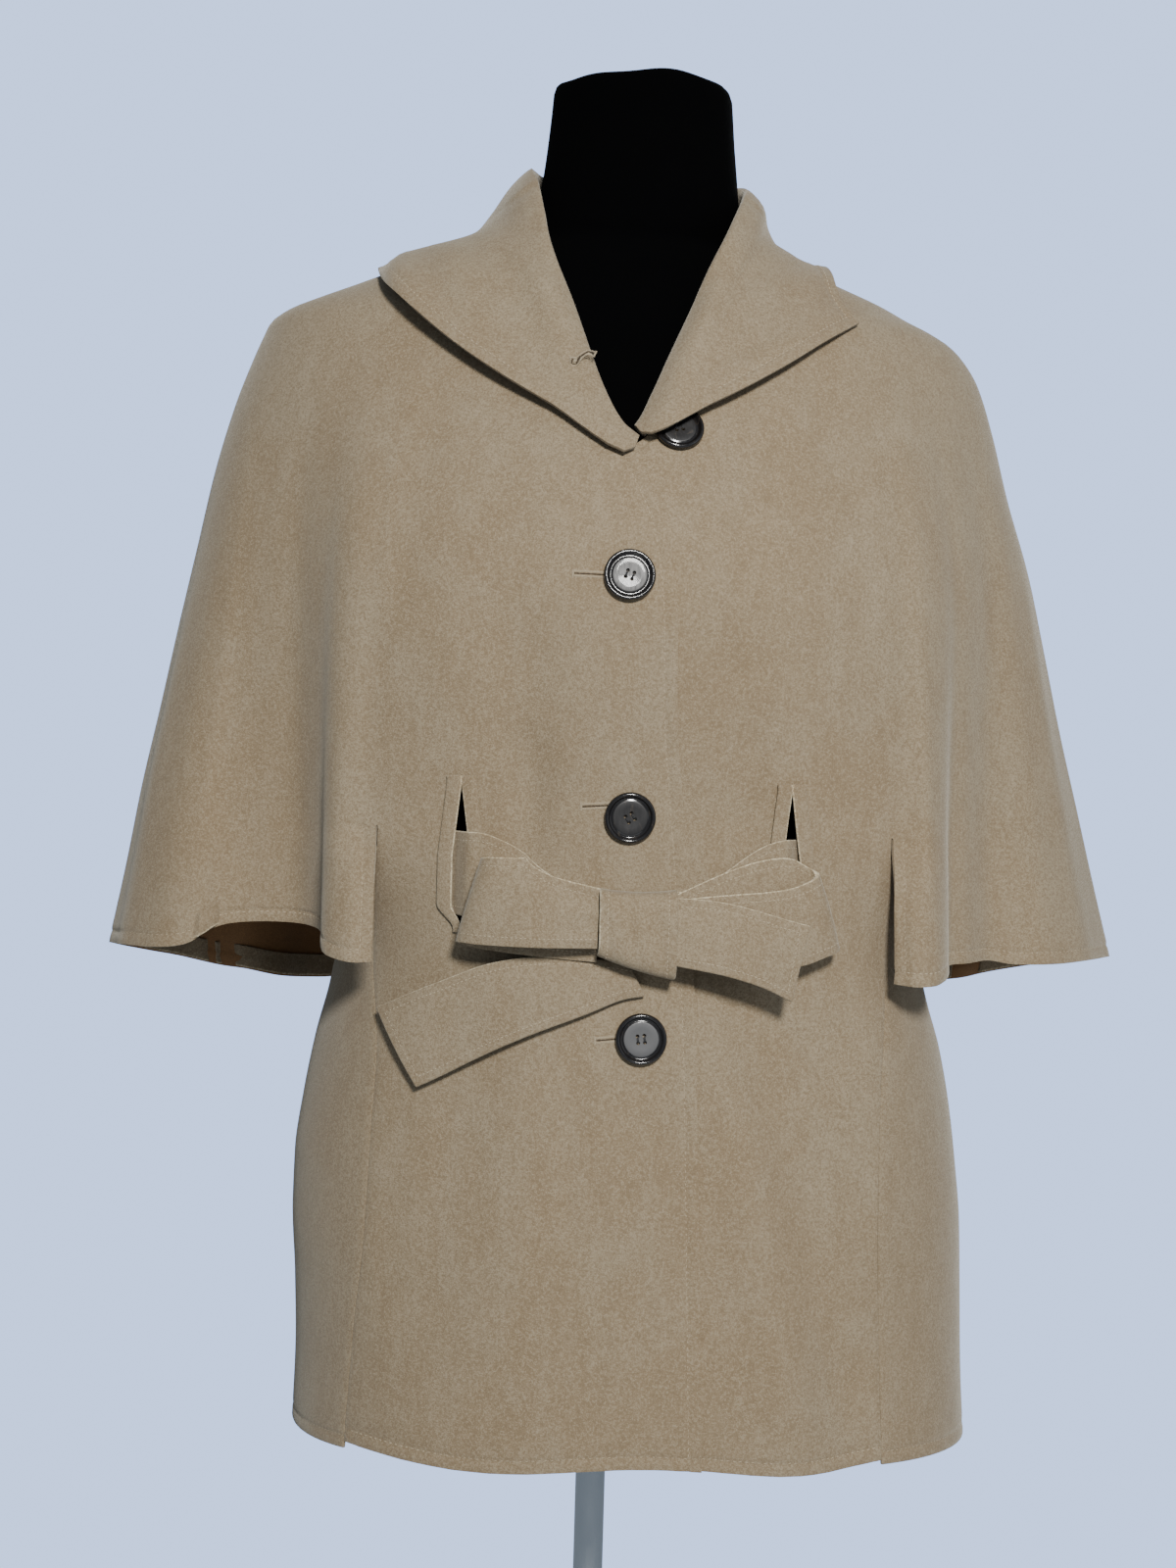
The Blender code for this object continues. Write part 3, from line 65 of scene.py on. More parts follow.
CAPE_LINE = (
    (1.3520, -0.0720, 0.0800), (1.3440, -0.0920, 0.1000), (1.3365, -0.1130, 0.1190),
    (1.3280, -0.1375, 0.1405), (1.3200, -0.1575, 0.1600), (1.3115, -0.1790, 0.1765),
    (1.3055, -0.1925, 0.1895), (1.2985, -0.2015, 0.2010), (1.2900, -0.2055, 0.2090),
    (1.2780, -0.2105, 0.2165), (1.2505, -0.2205, 0.2262), (1.2123, -0.2310, 0.2368),
    (1.1661, -0.2405, 0.2512), (1.1199, -0.2500, 0.2620), (1.0738, -0.2590, 0.2724),
    (1.0278, -0.2684, 0.2840), (0.9818, -0.2762, 0.2955), (0.9358, -0.2850, 0.3075),
)
DEPTH = (
    (1.3520, 0.0560, 0.0580), (1.3440, 0.0600, 0.0670), (1.3365, 0.0640, 0.0730), (1.3280, 0.0690, 0.0785),
    (1.3100, 0.0790, 0.0870), (1.2800, 0.0970, 0.0960), (1.2500, 0.1130, 0.1010), (1.2200, 0.1270, 0.1040),
    (1.1900, 0.1390, 0.1045), (1.1600, 0.1475, 0.1025), (1.1300, 0.1500, 0.1000), (1.0900, 0.1470, 0.0955),
    (1.0500, 0.1410, 0.0910), (1.0000, 0.1360, 0.0890), (0.9500, 0.1380, 0.0960), (0.9000, 0.1410, 0.1070),
    (0.8000, 0.1440, 0.1220), (0.6600, 0.1470, 0.1320),
)
MIDDLE = ((1.36, 0.004), (1.15, 0.003), (1.00, 0.008), (0.90, 0.016), (0.80, 0.019), (0.66, 0.023))
POINT = ((1.36, 1.10), (1.30, 1.15), (1.20, 1.30), (1.00, 1.45), (0.90, 1.45))
BODY_LINE = (
    (1.0600, -0.1500, 0.1720), (1.0100, -0.1460, 0.1720), (0.9700, -0.1480, 0.1780),
    (0.9158, -0.1560, 0.1905), (0.8869, -0.1630, 0.1990), (0.8522, -0.1690, 0.2055),
    (0.8200, -0.1727, 0.2095), (0.7900, -0.1730, 0.2125), (0.7500, -0.1705, 0.2140),
    (0.7056, -0.1690, 0.2155), (0.6600, -0.1700, 0.2185),
)
OVER_EDGE = (
    (1.2300, -0.0046), (1.2115, 0.0022), (1.1978, 0.0086), (1.1774, 0.0170), (1.1594, 0.0212),
    (1.1243, 0.0253), (1.0777, 0.0271), (1.0188, 0.0330), (0.9846, 0.0365), (0.9002, 0.0425),
    (0.8126, 0.0460), (0.6600, 0.0515),
)
UNDER_EDGE = (
    (1.2300, -0.0010), (1.2126, -0.0080), (1.1900, -0.0200), (1.1500, -0.0290), (1.0000, -0.0260),
    (0.9000, -0.0180), (0.6600, -0.0090),
)
TOP_EDGE_R = (
    (1.2115, 0.0022), (1.2230, -0.0108), (1.2435, -0.0212), (1.2638, -0.0282), (1.2792, -0.0328),
    (1.3004, -0.0392), (1.3200, -0.0460), (1.3365, -0.0545), (1.3440, -0.0610), (1.3520, -0.0695),
)
TOP_EDGE_L = (
    (1.2115, -0.0080), (1.2230, 0.0090), (1.2435, 0.0195), (1.2620, 0.0275), (1.2800, 0.0355),
    (1.2969, 0.0430), (1.3200, 0.0520), (1.3365, 0.0615), (1.3440, 0.0680), (1.3520, 0.0775),
)
SLASH_R = (
    (1.3520, -0.0705), (1.3440, -0.0820), (1.3365, -0.0950), (1.3280, -0.1050), (1.3115, -0.1150),
    (1.2800, -0.1190), (1.2000, -0.1240), (1.1000, -0.1280), (1.0100, -0.1290), (0.9377, -0.1296),
    (0.8889, -0.1261), (0.8442, -0.1281), (0.7818, -0.1307), (0.7458, -0.1339), (0.6600, -0.1390),
)
SLASH_L = (
    (1.3520, 0.0785), (1.3440, 0.0920), (1.3365, 0.1040), (1.3280, 0.1130), (1.3115, 0.1230),
    (1.2800, 0.1300), (1.2000, 0.1430), (1.1000, 0.1490), (1.0100, 0.1505), (0.9381, 0.1519),
    (0.9200, 0.1507), (0.8435, 0.1470), (0.8037, 0.1474), (0.7300, 0.1500), (0.6600, 0.1530),
)
SLIT_SHARES = {True: (0.690, 0.758), False: (0.640, 0.702)}
HEM_PLAN_R = (
    (-0.1296, -0.1180, 0.9370), (-0.1420, -0.1200, 0.9365), (-0.1545, -0.1100, 0.9400),
    (-0.1580, -0.0860, 0.9500), (-0.1720, -0.0680, 0.9530), (-0.1980, -0.0590, 0.9530),
    (-0.2180, -0.0610, 0.9500), (-0.2330, -0.0700, 0.9410), (-0.2500, -0.0650, 0.9380),
    (-0.2700, -0.0420, 0.9370), (-0.2850, 0.0000, 0.9350),
)
HEM_PLAN_L = (
    (0.1519, -0.1170, 0.9310), (0.1640, -0.1240, 0.9300), (0.1770, -0.1200, 0.9310),
    (0.1850, -0.1030, 0.9350), (0.1870, -0.0870, 0.9390), (0.2010, -0.0800, 0.9400),
    (0.2180, -0.0660, 0.9410), (0.2330, -0.0640, 0.9390), (0.2600, -0.0560, 0.9390),
    (0.2860, -0.0330, 0.9400), (0.3075, 0.0000, 0.9400),
)
BACK_PLAN_R = (
    (-0.2850, 0.0000, 0.9350), (-0.2760, 0.0420, 0.9290), (-0.2520, 0.0660, 0.9230),
    (-0.2270, 0.0640, 0.9180), (-0.2080, 0.0560, 0.9160), (-0.1900, 0.0660, 0.9120),
    (-0.1700, 0.0880, 0.9100), (-0.1480, 0.0980, 0.9110), (-0.1210, 0.0900, 0.9130),
)
BACK_PLAN_L = (
    (0.3075, 0.0000, 0.9400), (0.2950, 0.0410, 0.9340), (0.2700, 0.0640, 0.9280), (0.2440, 0.0660, 0.9230),
    (0.2240, 0.0570, 0.9200), (0.2030, 0.0700, 0.9160), (0.1800, 0.0900, 0.9130), (0.1580, 0.0960, 0.9130),
    (0.1350, 0.0860, 0.9150),
)
PLANS = {
    (True, False): HEM_PLAN_R,
    (False, False): HEM_PLAN_L,
    (True, True): BACK_PLAN_R,
    (False, True): BACK_PLAN_L,
}

# Soft troughs (depth over 0) and ridges on the body: x, z at one end, x, z at the other, width, depth
CREASES = (
    (0.078, 0.930, 0.134, 0.690, 0.030, 0.0075), (0.100, 0.925, 0.160, 0.712, 0.024, 0.0040),
    (0.056, 0.900, 0.104, 0.690, 0.026, -0.0035), (-0.047, 1.055, -0.047, 0.990, 0.016, 0.0040),
    (-0.060, 1.130, -0.045, 1.020, 0.030, 0.0035), (0.060, 1.120, 0.066, 1.010, 0.028, 0.0035),
    (-0.075, 0.920, -0.098, 0.740, 0.030, 0.0030),
)
BACK_CREASES = (
    (-0.050, 1.060, -0.062, 0.760, 0.034, 0.0050), (0.066, 1.050, 0.090, 0.740, 0.032, 0.0055),
    (0.008, 1.020, 0.012, 0.860, 0.026, 0.0030),
)

LEVELS = (
    1.352, 1.3498, 1.3473, 1.344, 1.3365, 1.328, 1.320, 1.3115, 1.3035, 1.294, 1.280, 1.262, 1.2435,
    1.2230, 1.2115, 1.190, 1.166, 1.142, 1.117, 1.090, 1.062, SLIT_TOP, SLASH_Z,
)
SIDE_TOP = 0.998
LOW_LEVELS = (
    SLASH_Z, SIDE_TOP, 0.978, SLIT_LOW, 0.936, 0.911, 0.883, 0.853, 0.820, 0.785, 0.748, 0.710, HEM_Z,
)

# Hems and topstitching
ROW = 0.0068            # stitch row from an edge
BELT_ROW = 0.0046
BELT_PITCH = 0.0024
PITCH = 0.0033          # one stitch with its gap
SINK = 0.0007           # how deep a row lies in the cloth
CAPE_WIDTH = 0.22       # round the hem, from the slash to the outermost line, in front
BACK_CAPE_WIDTH = 0.21
AXIS_X = 0.006          # the upright line that outward sides are judged from


def eased(a, b, slope_a, slope_b, t):
    """Cubic from a to b at share t, with its slopes at both ends."""
    return (
        a * (1 + 2 * t) * (1 - t) ** 2
        + slope_a * t * (1 - t) ** 2
        + b * t * t * (3 - 2 * t)
        + slope_b * t * t * (t - 1)
    )


def lengths(path):
    """Length from a line's first point to each of its points."""
    return np.concatenate([[0.0], np.cumsum(np.linalg.norm(np.diff(path, axis=0), axis=1))])


def sampled(length, table, s):
    """Rows of a table at lengths s along it."""
    return np.stack([np.interp(s, length, table[:, c]) for c in range(table.shape[1])], -1)


def curve(table, x, column=1):
    """Smooth monotone values of a table at x."""
    rows = np.array(sorted(table), float)
    xs = rows[:, 0]
    ys = rows[:, column]
    step = np.diff(ys) / np.diff(xs)
    slope = np.concatenate([step[:1], np.zeros(len(xs) - 2), step[-1:]])
    before = step[:-1]
    after = step[1:]
    rising = before * after > 0
    total = np.where(rising, before + after, 1.0)
    slope[1:-1] = np.where(rising, 2 * before * after / total, 0.0)
    x = np.clip(np.asarray(x, float), xs[0], xs[-1])
    k = np.clip(np.searchsorted(xs, x, side="right") - 1, 0, len(xs) - 2)
    h = xs[k + 1] - xs[k]
    return eased(ys[k], ys[k + 1], slope[k] * h, slope[k + 1] * h, (x - xs[k]) / h)


def line(points, t):
    """Points at shares t of a smooth line through points, by chord length in plan."""
    p = np.array(points, float)
    chord = lengths(p[:, :2])
    s = chord / chord[-1]
    slope = np.empty_like(p)
    slope[0] = (p[1] - p[0]) / (s[1] - s[0])
    slope[-1] = (p[-1] - p[-2]) / (s[-1] - s[-2])
    slope[1:-1] = (p[2:] - p[:-2]) / (s[2:] - s[:-2])[:, None]
    t = np.clip(np.asarray(t, float), 0.0, 1.0)
    k = np.clip(np.searchsorted(s, t, side="right") - 1, 0, len(p) - 2)
    h = (s[k + 1] - s[k])[..., None]
    return eased(p[k], p[k + 1], slope[k] * h, slope[k + 1] * h, (t[..., None] - s[k][..., None]) / h)


def smooth(t):
    t = np.clip(t, 0.0, 1.0)
    return t * t * (3 - 2 * t)


def signed_power(v, e):
    return np.sign(v) * np.abs(v) ** e


def unit(v):
    return v / np.maximum(np.linalg.norm(v, axis=-1, keepdims=True), 1e-12)


def outline(z, right):
    return curve(CAPE_LINE, z, 1 if right else 2)


def shell(z, a):
    """Upper jacket and cape without folds; a is 0 in front, negative on the wearer's right."""
    z, a = np.broadcast_arrays(np.asarray(z, float), np.asarray(a, float))
    m = curve(MIDDLE, z)
    s = np.sin(a)
    c = np.cos(a)
    w = np.where(s < 0, m - outline(z, True), outline(z, False) - m)
    d = np.where(c > 0, curve(DEPTH, z, 1), curve(DEPTH, z, 2))
    return np.stack([m + w * s, -d * signed_power(c, curve(POINT, z)), z], -1)


def shell_angle(z, x, back=False):
    m = curve(MIDDLE, z)
    w = np.where(x < m, m - outline(z, True), outline(z, False) - m)
    a = np.arcsin(np.clip((x - m) / w, -1.0, 1.0))
    return np.copysign(math.pi, x - m) - a if back else a


def body(z, a):
    """Jacket's body under the cape."""
    z, a = np.broadcast_arrays(np.asarray(z, float), np.asarray(a, float))
    m = curve(MIDDLE, z)
    s = np.sin(a)
    c = np.cos(a)
    w = np.where(s < 0, m - curve(BODY_LINE, z, 1), curve(BODY_LINE, z, 2) - m)
    d = np.where(c > 0, curve(DEPTH, z, 1), curve(DEPTH, z, 2))
    return np.stack([m + w * signed_power(s, BODY_ROUND), -d * signed_power(c, BODY_ROUND), z], -1)


def body_angle(z, x, back=False):
    m = curve(MIDDLE, z)
    w = np.where(x < m, m - curve(BODY_LINE, z, 1), curve(BODY_LINE, z, 2) - m)
    a = np.arcsin(signed_power(np.clip((x - m) / w, -1.0, 1.0), 1 / BODY_ROUND))
    return np.copysign(math.pi, x - m) - a if back else a


def strokes(table, x, z):
    """Sum of soft troughs along straight lines."""
    total = 0.0
    for x1, z1, x2, z2, width, depth in table:
        dx = x2 - x1
        dz = z2 - z1
        length = math.hypot(dx, dz)
        t = ((x - x1) * dx + (z - z1) * dz) / length**2
        across = ((x - x1) * dz - (z - z1) * dx) / length
        ends = smooth((t + 0.25) / 0.5) * smooth((1.25 - t) / 0.4)
        total = total + depth * ends * np.exp(-((across / width) ** 2) * 2.2)
    return total


def trunk(x, z, back=False):
    """Front or back of the jacket at x, z, from the shell above the slash to the body below it."""
    x, z = np.broadcast_arrays(np.asarray(x, float), np.asarray(z, float))
    over = shell(z, shell_angle(z, x, back))[..., 1]
    under = body(z, body_angle(z, x, back))[..., 1]
    share = smooth((SLASH_Z - z) / 0.085)
    sign = -1 if back else 1
    y = over * (1 - share) + under * share + sign * strokes(BACK_CREASES if back else CREASES, x, z)
    return np.stack([x, y, z], -1)


def slash_x(z, right, back=False):
    if not back:
        return curve(SLASH_R if right else SLASH_L, z)
    m = curve(MIDDLE, z)
    w = m - outline(z, True) if right else outline(z, False) - m
    x = np.minimum(BACK_SLASH, 0.62 * w)
    return m - x if right else m + x


def side(z, t, right):
    """Side panel from the front seam (t = 0) to the back seam (t = 1)."""
    z, t = np.broadcast_arrays(np.asarray(z, float), np.asarray(t, float))
    xf = slash_x(z, right)
    xb = slash_x(z, right, True)
    af = body_angle(z, xf)
    ab = body_angle(z, xb, True)
    front = trunk(xf, z) - body(z, af)
    rear = trunk(xb, z, True) - body(z, ab)
    near = smooth(1 - 2.2 * t)[..., None]
    far = smooth(2.2 * t - 1.2)[..., None]
    return body(z, af + (ab - af) * t) + front * near + rear * far


def cape(z, q, right, back=False):
    """Cape from the slash (q = 0) to the outermost line (q = 1), with its folds."""
    z, q = np.broadcast_arrays(np.asarray(z, float), np.asarray(q, float))
    foot = line(PLANS[(right, back)], 1 - q if back else q)
    edge = -math.pi / 2 if right else math.pi / 2
    a0 = shell_angle(z, slash_x(z, right, back), back)
    flat = shell(z, a0 + (edge - a0) * q)
    hem = foot[..., 2]
    b0 = shell_angle(hem, slash_x(hem, right, back), back)
    rest = shell(hem, b0 + (edge - b0) * q)
    weight = np.maximum(0.0, (FOLD_TOP - z) / (FOLD_TOP - hem)) ** FOLD_POWER
    near = 1 - smooth(q / 0.12)
    weight = weight * (1 - near * (1 - smooth((SLASH_Z - z) / 0.05)))
    away = (foot - rest) * weight[..., None]
    away[..., 2] = 0.0
    off = 0.0036 * smooth((SLASH_Z - z) / 0.022) * (1 - smooth(q / 0.5))
    away[..., 1] += off if back else -off
    return flat + away


def hem_height(q, right, back=False):
    return line(PLANS[(right, back)], 1 - q if back else q)[..., 2]


def body_hem(x):
    """Lower edge of the fronts, a little uneven."""
    return HEM_Z + 0.0025 * np.sin(38.0 * x + 0.9)


def lap_offset(x, right):
    """Over front lies out, under front lies in, where they lap."""
    if right:
        return LAP * smooth((x + 0.075) / 0.040)
    return -LAP * smooth((0.095 - x) / 0.040)


def slope_normal(f, x, z, outwards):
    """Unit normal of f(x, z) on the side of outwards."""
    e = 0.002
    n = unit(np.cross(f(x + e, z) - f(x - e, z), f(x, z + e) - f(x, z - e)))
    return np.where(np.sum(n * outwards, -1, keepdims=True) >= 0, n, -n)


def trunk_normal(x, z, back=False):
    return slope_normal(lambda u, v: trunk(u, v, back), x, z, np.array([0.0, 1.0 if back else -1.0, 0.0]))


def front_point(x, z, right):
    """Middle of a front's cloth, with its lap."""
    return trunk(x, z) + trunk_normal(x, z) * np.asarray(lap_offset(x, right))[..., None]


def finer(levels, parts):
    """The levels with equal steps between them."""
    out = [levels[0]]
    for low, high, n in zip(levels, levels[1:], parts):
        out += [low + (high - low) * k / n for k in range(1, n)]
        out.append(high)
    return out


def lattice(columns, rows, keep=None, seams=(), split_row=0):
    """Flat grid of cloth whose points know their column, row and side of a seam."""
    bm = bmesh.new()
    bmesh.ops.create_grid(bm, x_segments=columns, y_segments=rows, size=0.5)
    where_i = bm.verts.layers.int.new("column")
    where_j = bm.verts.layers.int.new("row")
    for v in bm.verts:
        v[where_i] = round((v.co.x + 0.5) * columns)
        v[where_j] = round((0.5 - v.co.y) * rows)
    if keep:
        gone = []
        for f in bm.faces:
            i = min(v[where_i] for v in f.verts)
            j = min(v[where_j] for v in f.verts)
            if not keep(i, j):
                gone.append(f)
        bmesh.ops.delete(bm, geom=gone, context="FACES")
    if seams:
        cuts = []
        for e in bm.edges:
            a, b = e.verts
            if a[where_i] == b[where_i] and a[where_i] in seams and min(a[where_j], b[where_j]) >= split_row:
                cuts.append(e)
        bmesh.ops.split_edges(bm, edges=cuts)
    bm.verts.ensure_lookup_table()
    i = np.array([v[where_i] for v in bm.verts])
    j = np.array([v[where_j] for v in bm.verts])
    middle = np.array([
        np.mean([sum(w[where_i] for w in f.verts) / 4 for f in v.link_faces]) for v in bm.verts
    ])
    return bm, i, j, middle


def numbers(bm, name, values):
    layer = bm.verts.layers.float.get(name) or bm.verts.layers.float.new(name)
    for v, value in zip(bm.verts, values):
        v[layer] = float(value)


def settle(bm, points):
    for v, p in zip(bm.verts, points):
        v.co = p
    bm.normal_update()


def normals(bm):
    return np.array([v.normal[:] for v in bm.verts])


def from_axis(points):
    return unit((points - np.array([AXIS_X, 0.0, 0.0])) * np.array([1.0, 1.0, 0.0]))


def turn_outwards(bm, points, outwards):
    """Faces point the way of outwards."""
    settle(bm, points)
    if np.mean(np.sum(normals(bm) * outwards, -1)) < 0:
        bmesh.ops.reverse_faces(bm, faces=bm.faces)
        bm.normal_update()


def linked(name, data):
    obj = bpy.data.objects.new(name, data)
    bpy.context.scene.collection.objects.link(obj)
    return obj


def loose_object(name, bm, materials=()):
    mesh = bpy.data.meshes.new(name)
    bm.to_mesh(mesh)
    bm.free()
    for m in materials:
        mesh.materials.append(m)
    return linked(name, mesh)


def on_root(obj):
    """Smooth faces, moved with the part's one body."""
    for f in obj.data.polygons:
        f.use_smooth = True
    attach(obj, "root")
    return obj


def finish_piece(name, bm, materials):
    return on_root(loose_object(name, bm, materials))


def wall(obj, thickness, inner=0, round_over=0.0006):
    """Gives a sheet its thickness and rounds its cut edges; with inner 1 its back has the second finish."""
    solid = obj.modifiers.new("thickness", "SOLIDIFY")
    solid.thickness = thickness
    solid.offset = 0.0
    solid.use_even_offset = True
    solid.material_offset = inner
    bevel = obj.modifiers.new("edges", "BEVEL")
    bevel.width = round_over
    bevel.segments = 2
    bevel.limit_method = "ANGLE"
    bevel.angle_limit = math.radians(55)
    return obj


# ---------------------------------------------------------------- finishes


class Value:
    """A shader number that takes part in ordinary arithmetic."""

    def __init__(self, paint, socket):
        self.paint = paint
        self.socket = socket

    def _with(self, operation, other, swap=False):
        pair = (other, self) if swap else (self, other)
        return self.paint.math(operation, *pair)

    def __add__(self, other):
        return self._with("ADD", other)

    def __radd__(self, other):
        return self._with("ADD", other, True)

    def __sub__(self, other):
        return self._with("SUBTRACT", other)

    def __rsub__(self, other):
        return self._with("SUBTRACT", other, True)

    def __mul__(self, other):
        return self._with("MULTIPLY", other)

    def __rmul__(self, other):
        return self._with("MULTIPLY", other, True)


class Paint:
    """A material and the nodes in it."""

    def __init__(self, name, color, roughness, metallic=0.0, sheen=0.0):
        self.material = bpy.data.materials.new(name)
        self.material.use_nodes = True
        self.nodes = self.material.node_tree.nodes
        self.links = self.material.node_tree.links
        self.shader = self.nodes["Principled BSDF"]
        self.shader.inputs["Base Color"].default_value = (*color, 1.0)
        self.shader.inputs["Roughness"].default_value = roughness
        self.shader.inputs["Metallic"].default_value = metallic
        self.shader.inputs["Sheen Weight"].default_value = sheen
        self.shader.inputs["Sheen Roughness"].default_value = 0.45

    def node(self, kind, settings=(), **sockets):
        """A node: its settings are made first, then its sockets are fed by name or number."""
        n = self.nodes.new("ShaderNode" + kind)
        for key, value in dict(settings).items():
            setattr(n, key, value)
        for key, value in sockets.items():
            place = int(key[1:]) if key[0] == "n" and key[1:].isdigit() else key.replace("_", " ")
            self.feed(n.inputs[place], value)
        return n

    def feed(self, socket, value):
        if isinstance(value, Value):
            self.links.new(value.socket, socket)
        elif isinstance(value, bpy.types.NodeSocket):
            self.links.new(value, socket)
        else:
            socket.default_value = value

    def math(self, operation, a, b=0.0):
        n = self.node("Math", {"operation": operation}, n0=a, n1=b)
        return Value(self, n.outputs[0])

    def smoothstep(self, value, low, high, to_low=0.0, to_high=1.0):
        n = self.node(
            "MapRange",
            {"interpolation_type": "SMOOTHSTEP"},
            Value=value,
            From_Min=low,
            From_Max=high,
            To_Min=to_low,
            To_Max=to_high,
        )
        return Value(self, n.outputs[0])

    def place(self, stretch=(1.0, 1.0, 1.0), shift=(0.0, 0.0, 0.0)):
        here = self.node("TexCoord").outputs["Object"]
        return self.node("Mapping", n0=here, Scale=stretch, Location=shift).outputs[0]

    def noise(self, scale, detail=3.0, rough=0.55, stretch=(1.0, 1.0, 1.0), shift=(0.0, 0.0, 0.0), bent=0.0):
        at = self.place(stretch, shift)
        n = self.node("TexNoise", Vector=at, Scale=scale, Detail=detail, Roughness=rough, Distortion=bent)
        return Value(self, n.outputs[0])

    def attribute(self, name):
        return Value(self, self.node("Attribute", {"attribute_name": name}).outputs["Fac"])

    def mix(self, factor, a, b):
        n = self.node("Mix", {"data_type": "RGBA"})
        self.feed(n.inputs[0], factor)
        self.feed(n.inputs[6], a)
        self.feed(n.inputs[7], b)
        return n.outputs[2]

    def color(self, value):
        self.feed(self.shader.inputs["Base Color"], value)

    def roughness(self, value):
        self.feed(self.shader.inputs["Roughness"], value)

    def bump(self, height, distance, strength=1.0, under=None):
        n = self.node("Bump", Strength=strength, Distance=distance, Height=height)
        if under is not None:
            self.feed(n.inputs["Normal"], under)
        return n.outputs[0]

    def normal(self, value):
        self.feed(self.shader.inputs["Normal"], value)


def tone(r, g, b):
    return (r, g, b, 1.0)


WARM = (0.365, 0.276, 0.164)
COOL = (0.425, 0.364, 0.250)
DEEP = (0.205, 0.152, 0.088)
PALE = (0.640, 0.560, 0.405)
# Colour of the painted shade along the sunk stitch rows
ROW_PAINTED_SHADE = (0.150, 0.108, 0.066)


def suede():
    """Napped cloth: blotches where the nap was brushed, a fine grain, and painted shade along the sunk
    stitched rows.
    """
    p = Paint("suede", WARM, 0.9, sheen=0.30)
    p.shader.inputs["Sheen Tint"].default_value = tone(0.90, 0.87, 0.78)
    p.shader.inputs["Specular IOR Level"].default_value = 0.20
    broad = p.noise(9.0, 3.0, 0.55, (1.0, 1.0, 0.72), (0.4, 0.0, 0.2), 0.5)
    brushed = p.noise(38.0, 5.0, 0.60, (1.0, 1.0, 0.5), (3.1, 0.0, 1.7), 0.8)
    marks = p.noise(150.0, 4.0, 0.65, (1.0, 1.0, 0.45), (0.0, 2.0, 0.0), 0.4)
    grain = p.noise(620.0, 3.0, 0.75)
    speck = p.noise(1500.0, 2.0, 0.6, (1.0, 1.0, 1.0), (5.0, 1.0, 2.0))
    blotch = p.smoothstep(broad * 0.55 + brushed * 0.45, 0.36, 0.66)
    patch = p.smoothstep(marks * 0.6 + brushed * 0.4, 0.46, 0.72)
    base = p.mix(blotch, tone(*WARM), tone(*COOL))
    base = p.mix(patch * 0.42, base, tone(*PALE))
    base = p.mix(p.smoothstep(marks * 0.5 + brushed * 0.5, 0.52, 0.30) * 0.40, base, tone(*DEEP))
    fine = p.smoothstep(grain * 0.55 + speck * 0.45, 0.36, 0.64)
    base = p.mix(p.smoothstep(fine, 0.55, 0.0) * 0.80, base, tone(*DEEP))
    base = p.mix(p.smoothstep(fine, 0.50, 1.0) * 0.74, base, tone(*PALE))
    # Painted shade: the cloth is darkened along its sunk stitch rows, where the grooves' shade falls
    base = p.mix(p.smoothstep(p.attribute("row"), 0.12, 0.80) * 0.72, base, tone(*ROW_PAINTED_SHADE))
    p.color(base)
    p.roughness(p.smoothstep(brushed, 0.3, 0.7, 0.95, 0.86))
    soft = p.bump(brushed * 0.5 + marks * 0.5, 0.0010, 0.35)
    p.normal(p.bump(grain * 0.6 + speck * 0.4, 0.0006, 0.9, soft))
    return p.material


def plain_nap(name, color, deep, rough, scale, sheen, distance=0.0002, shine=0.5):
    p = Paint(name, color, rough, sheen=sheen)
    p.shader.inputs["Specular IOR Level"].default_value = shine
    grain = p.noise(scale, 3.0, 0.65)
    cloud = p.noise(24.0, 3.0, 0.6)
    base = p.mix(p.smoothstep(grain, 0.3, 0.7), tone(*deep), tone(*color))
    p.color(p.mix(p.smoothstep(cloud, 0.35, 0.7) * 0.35, base, tone(*deep)))
    p.normal(p.bump(grain, distance, 0.6))
    return p.material


SUEDE = suede()
REVERSE = plain_nap("bonded reverse", (0.255, 0.130, 0.048), (0.170, 0.082, 0.030), 0.9, 1500.0, 0.12)
THREAD = plain_nap(
    "topstitch thread", (0.470, 0.395, 0.280), (0.340, 0.275, 0.185), 0.75, 3000.0, 0.1, 0.0001
)
VELVET = plain_nap(
    "velvet cover", (0.0009, 0.0009, 0.0011), (0.0004, 0.0004, 0.0005), 1.0, 1800.0, 0.0, shine=0.04
)
DARK_THREAD = plain_nap(
    "button thread", (0.020, 0.020, 0.022), (0.010, 0.010, 0.011), 0.6, 3000.0, 0.1, 0.0001
)


def polished_chrome():
    p = Paint("chrome", (0.62, 0.64, 0.66), 0.10, 1.0)
    smear = p.noise(30.0, 4.0, 0.6, (1.0, 1.0, 0.25))
    p.roughness(p.smoothstep(smear, 0.3, 0.75, 0.07, 0.20))
    p.normal(p.bump(p.noise(500.0, 2.0, 0.5), 0.00002, 0.2))
    return p.material


def horn(name, dull, ground=(0.008, 0.007, 0.007)):
    """Dark horn with a few smoky streaks."""
    p = Paint(name, ground, 0.10)
    streak = p.noise(190.0, 5.0, 0.65, (1.0, 1.0, 0.35), (0.0, 0.0, 0.0), 1.6)
    light = p.smoothstep(streak, 0.56, 0.74) * 0.55
    p.color(p.mix(light, tone(*ground), tone(0.085, 0.066, 0.048)))
    scratch = p.noise(900.0, 3.0, 0.6, (1.0, 1.0, 0.2))
    p.roughness(p.smoothstep(scratch, 0.35, 0.75, dull, dull + 0.10))
    p.shader.inputs["Coat Weight"].default_value = 0.12
    p.shader.inputs["Coat Roughness"].default_value = 0.05
    p.normal(p.bump(scratch, 0.00003, 0.3))
    return p.material


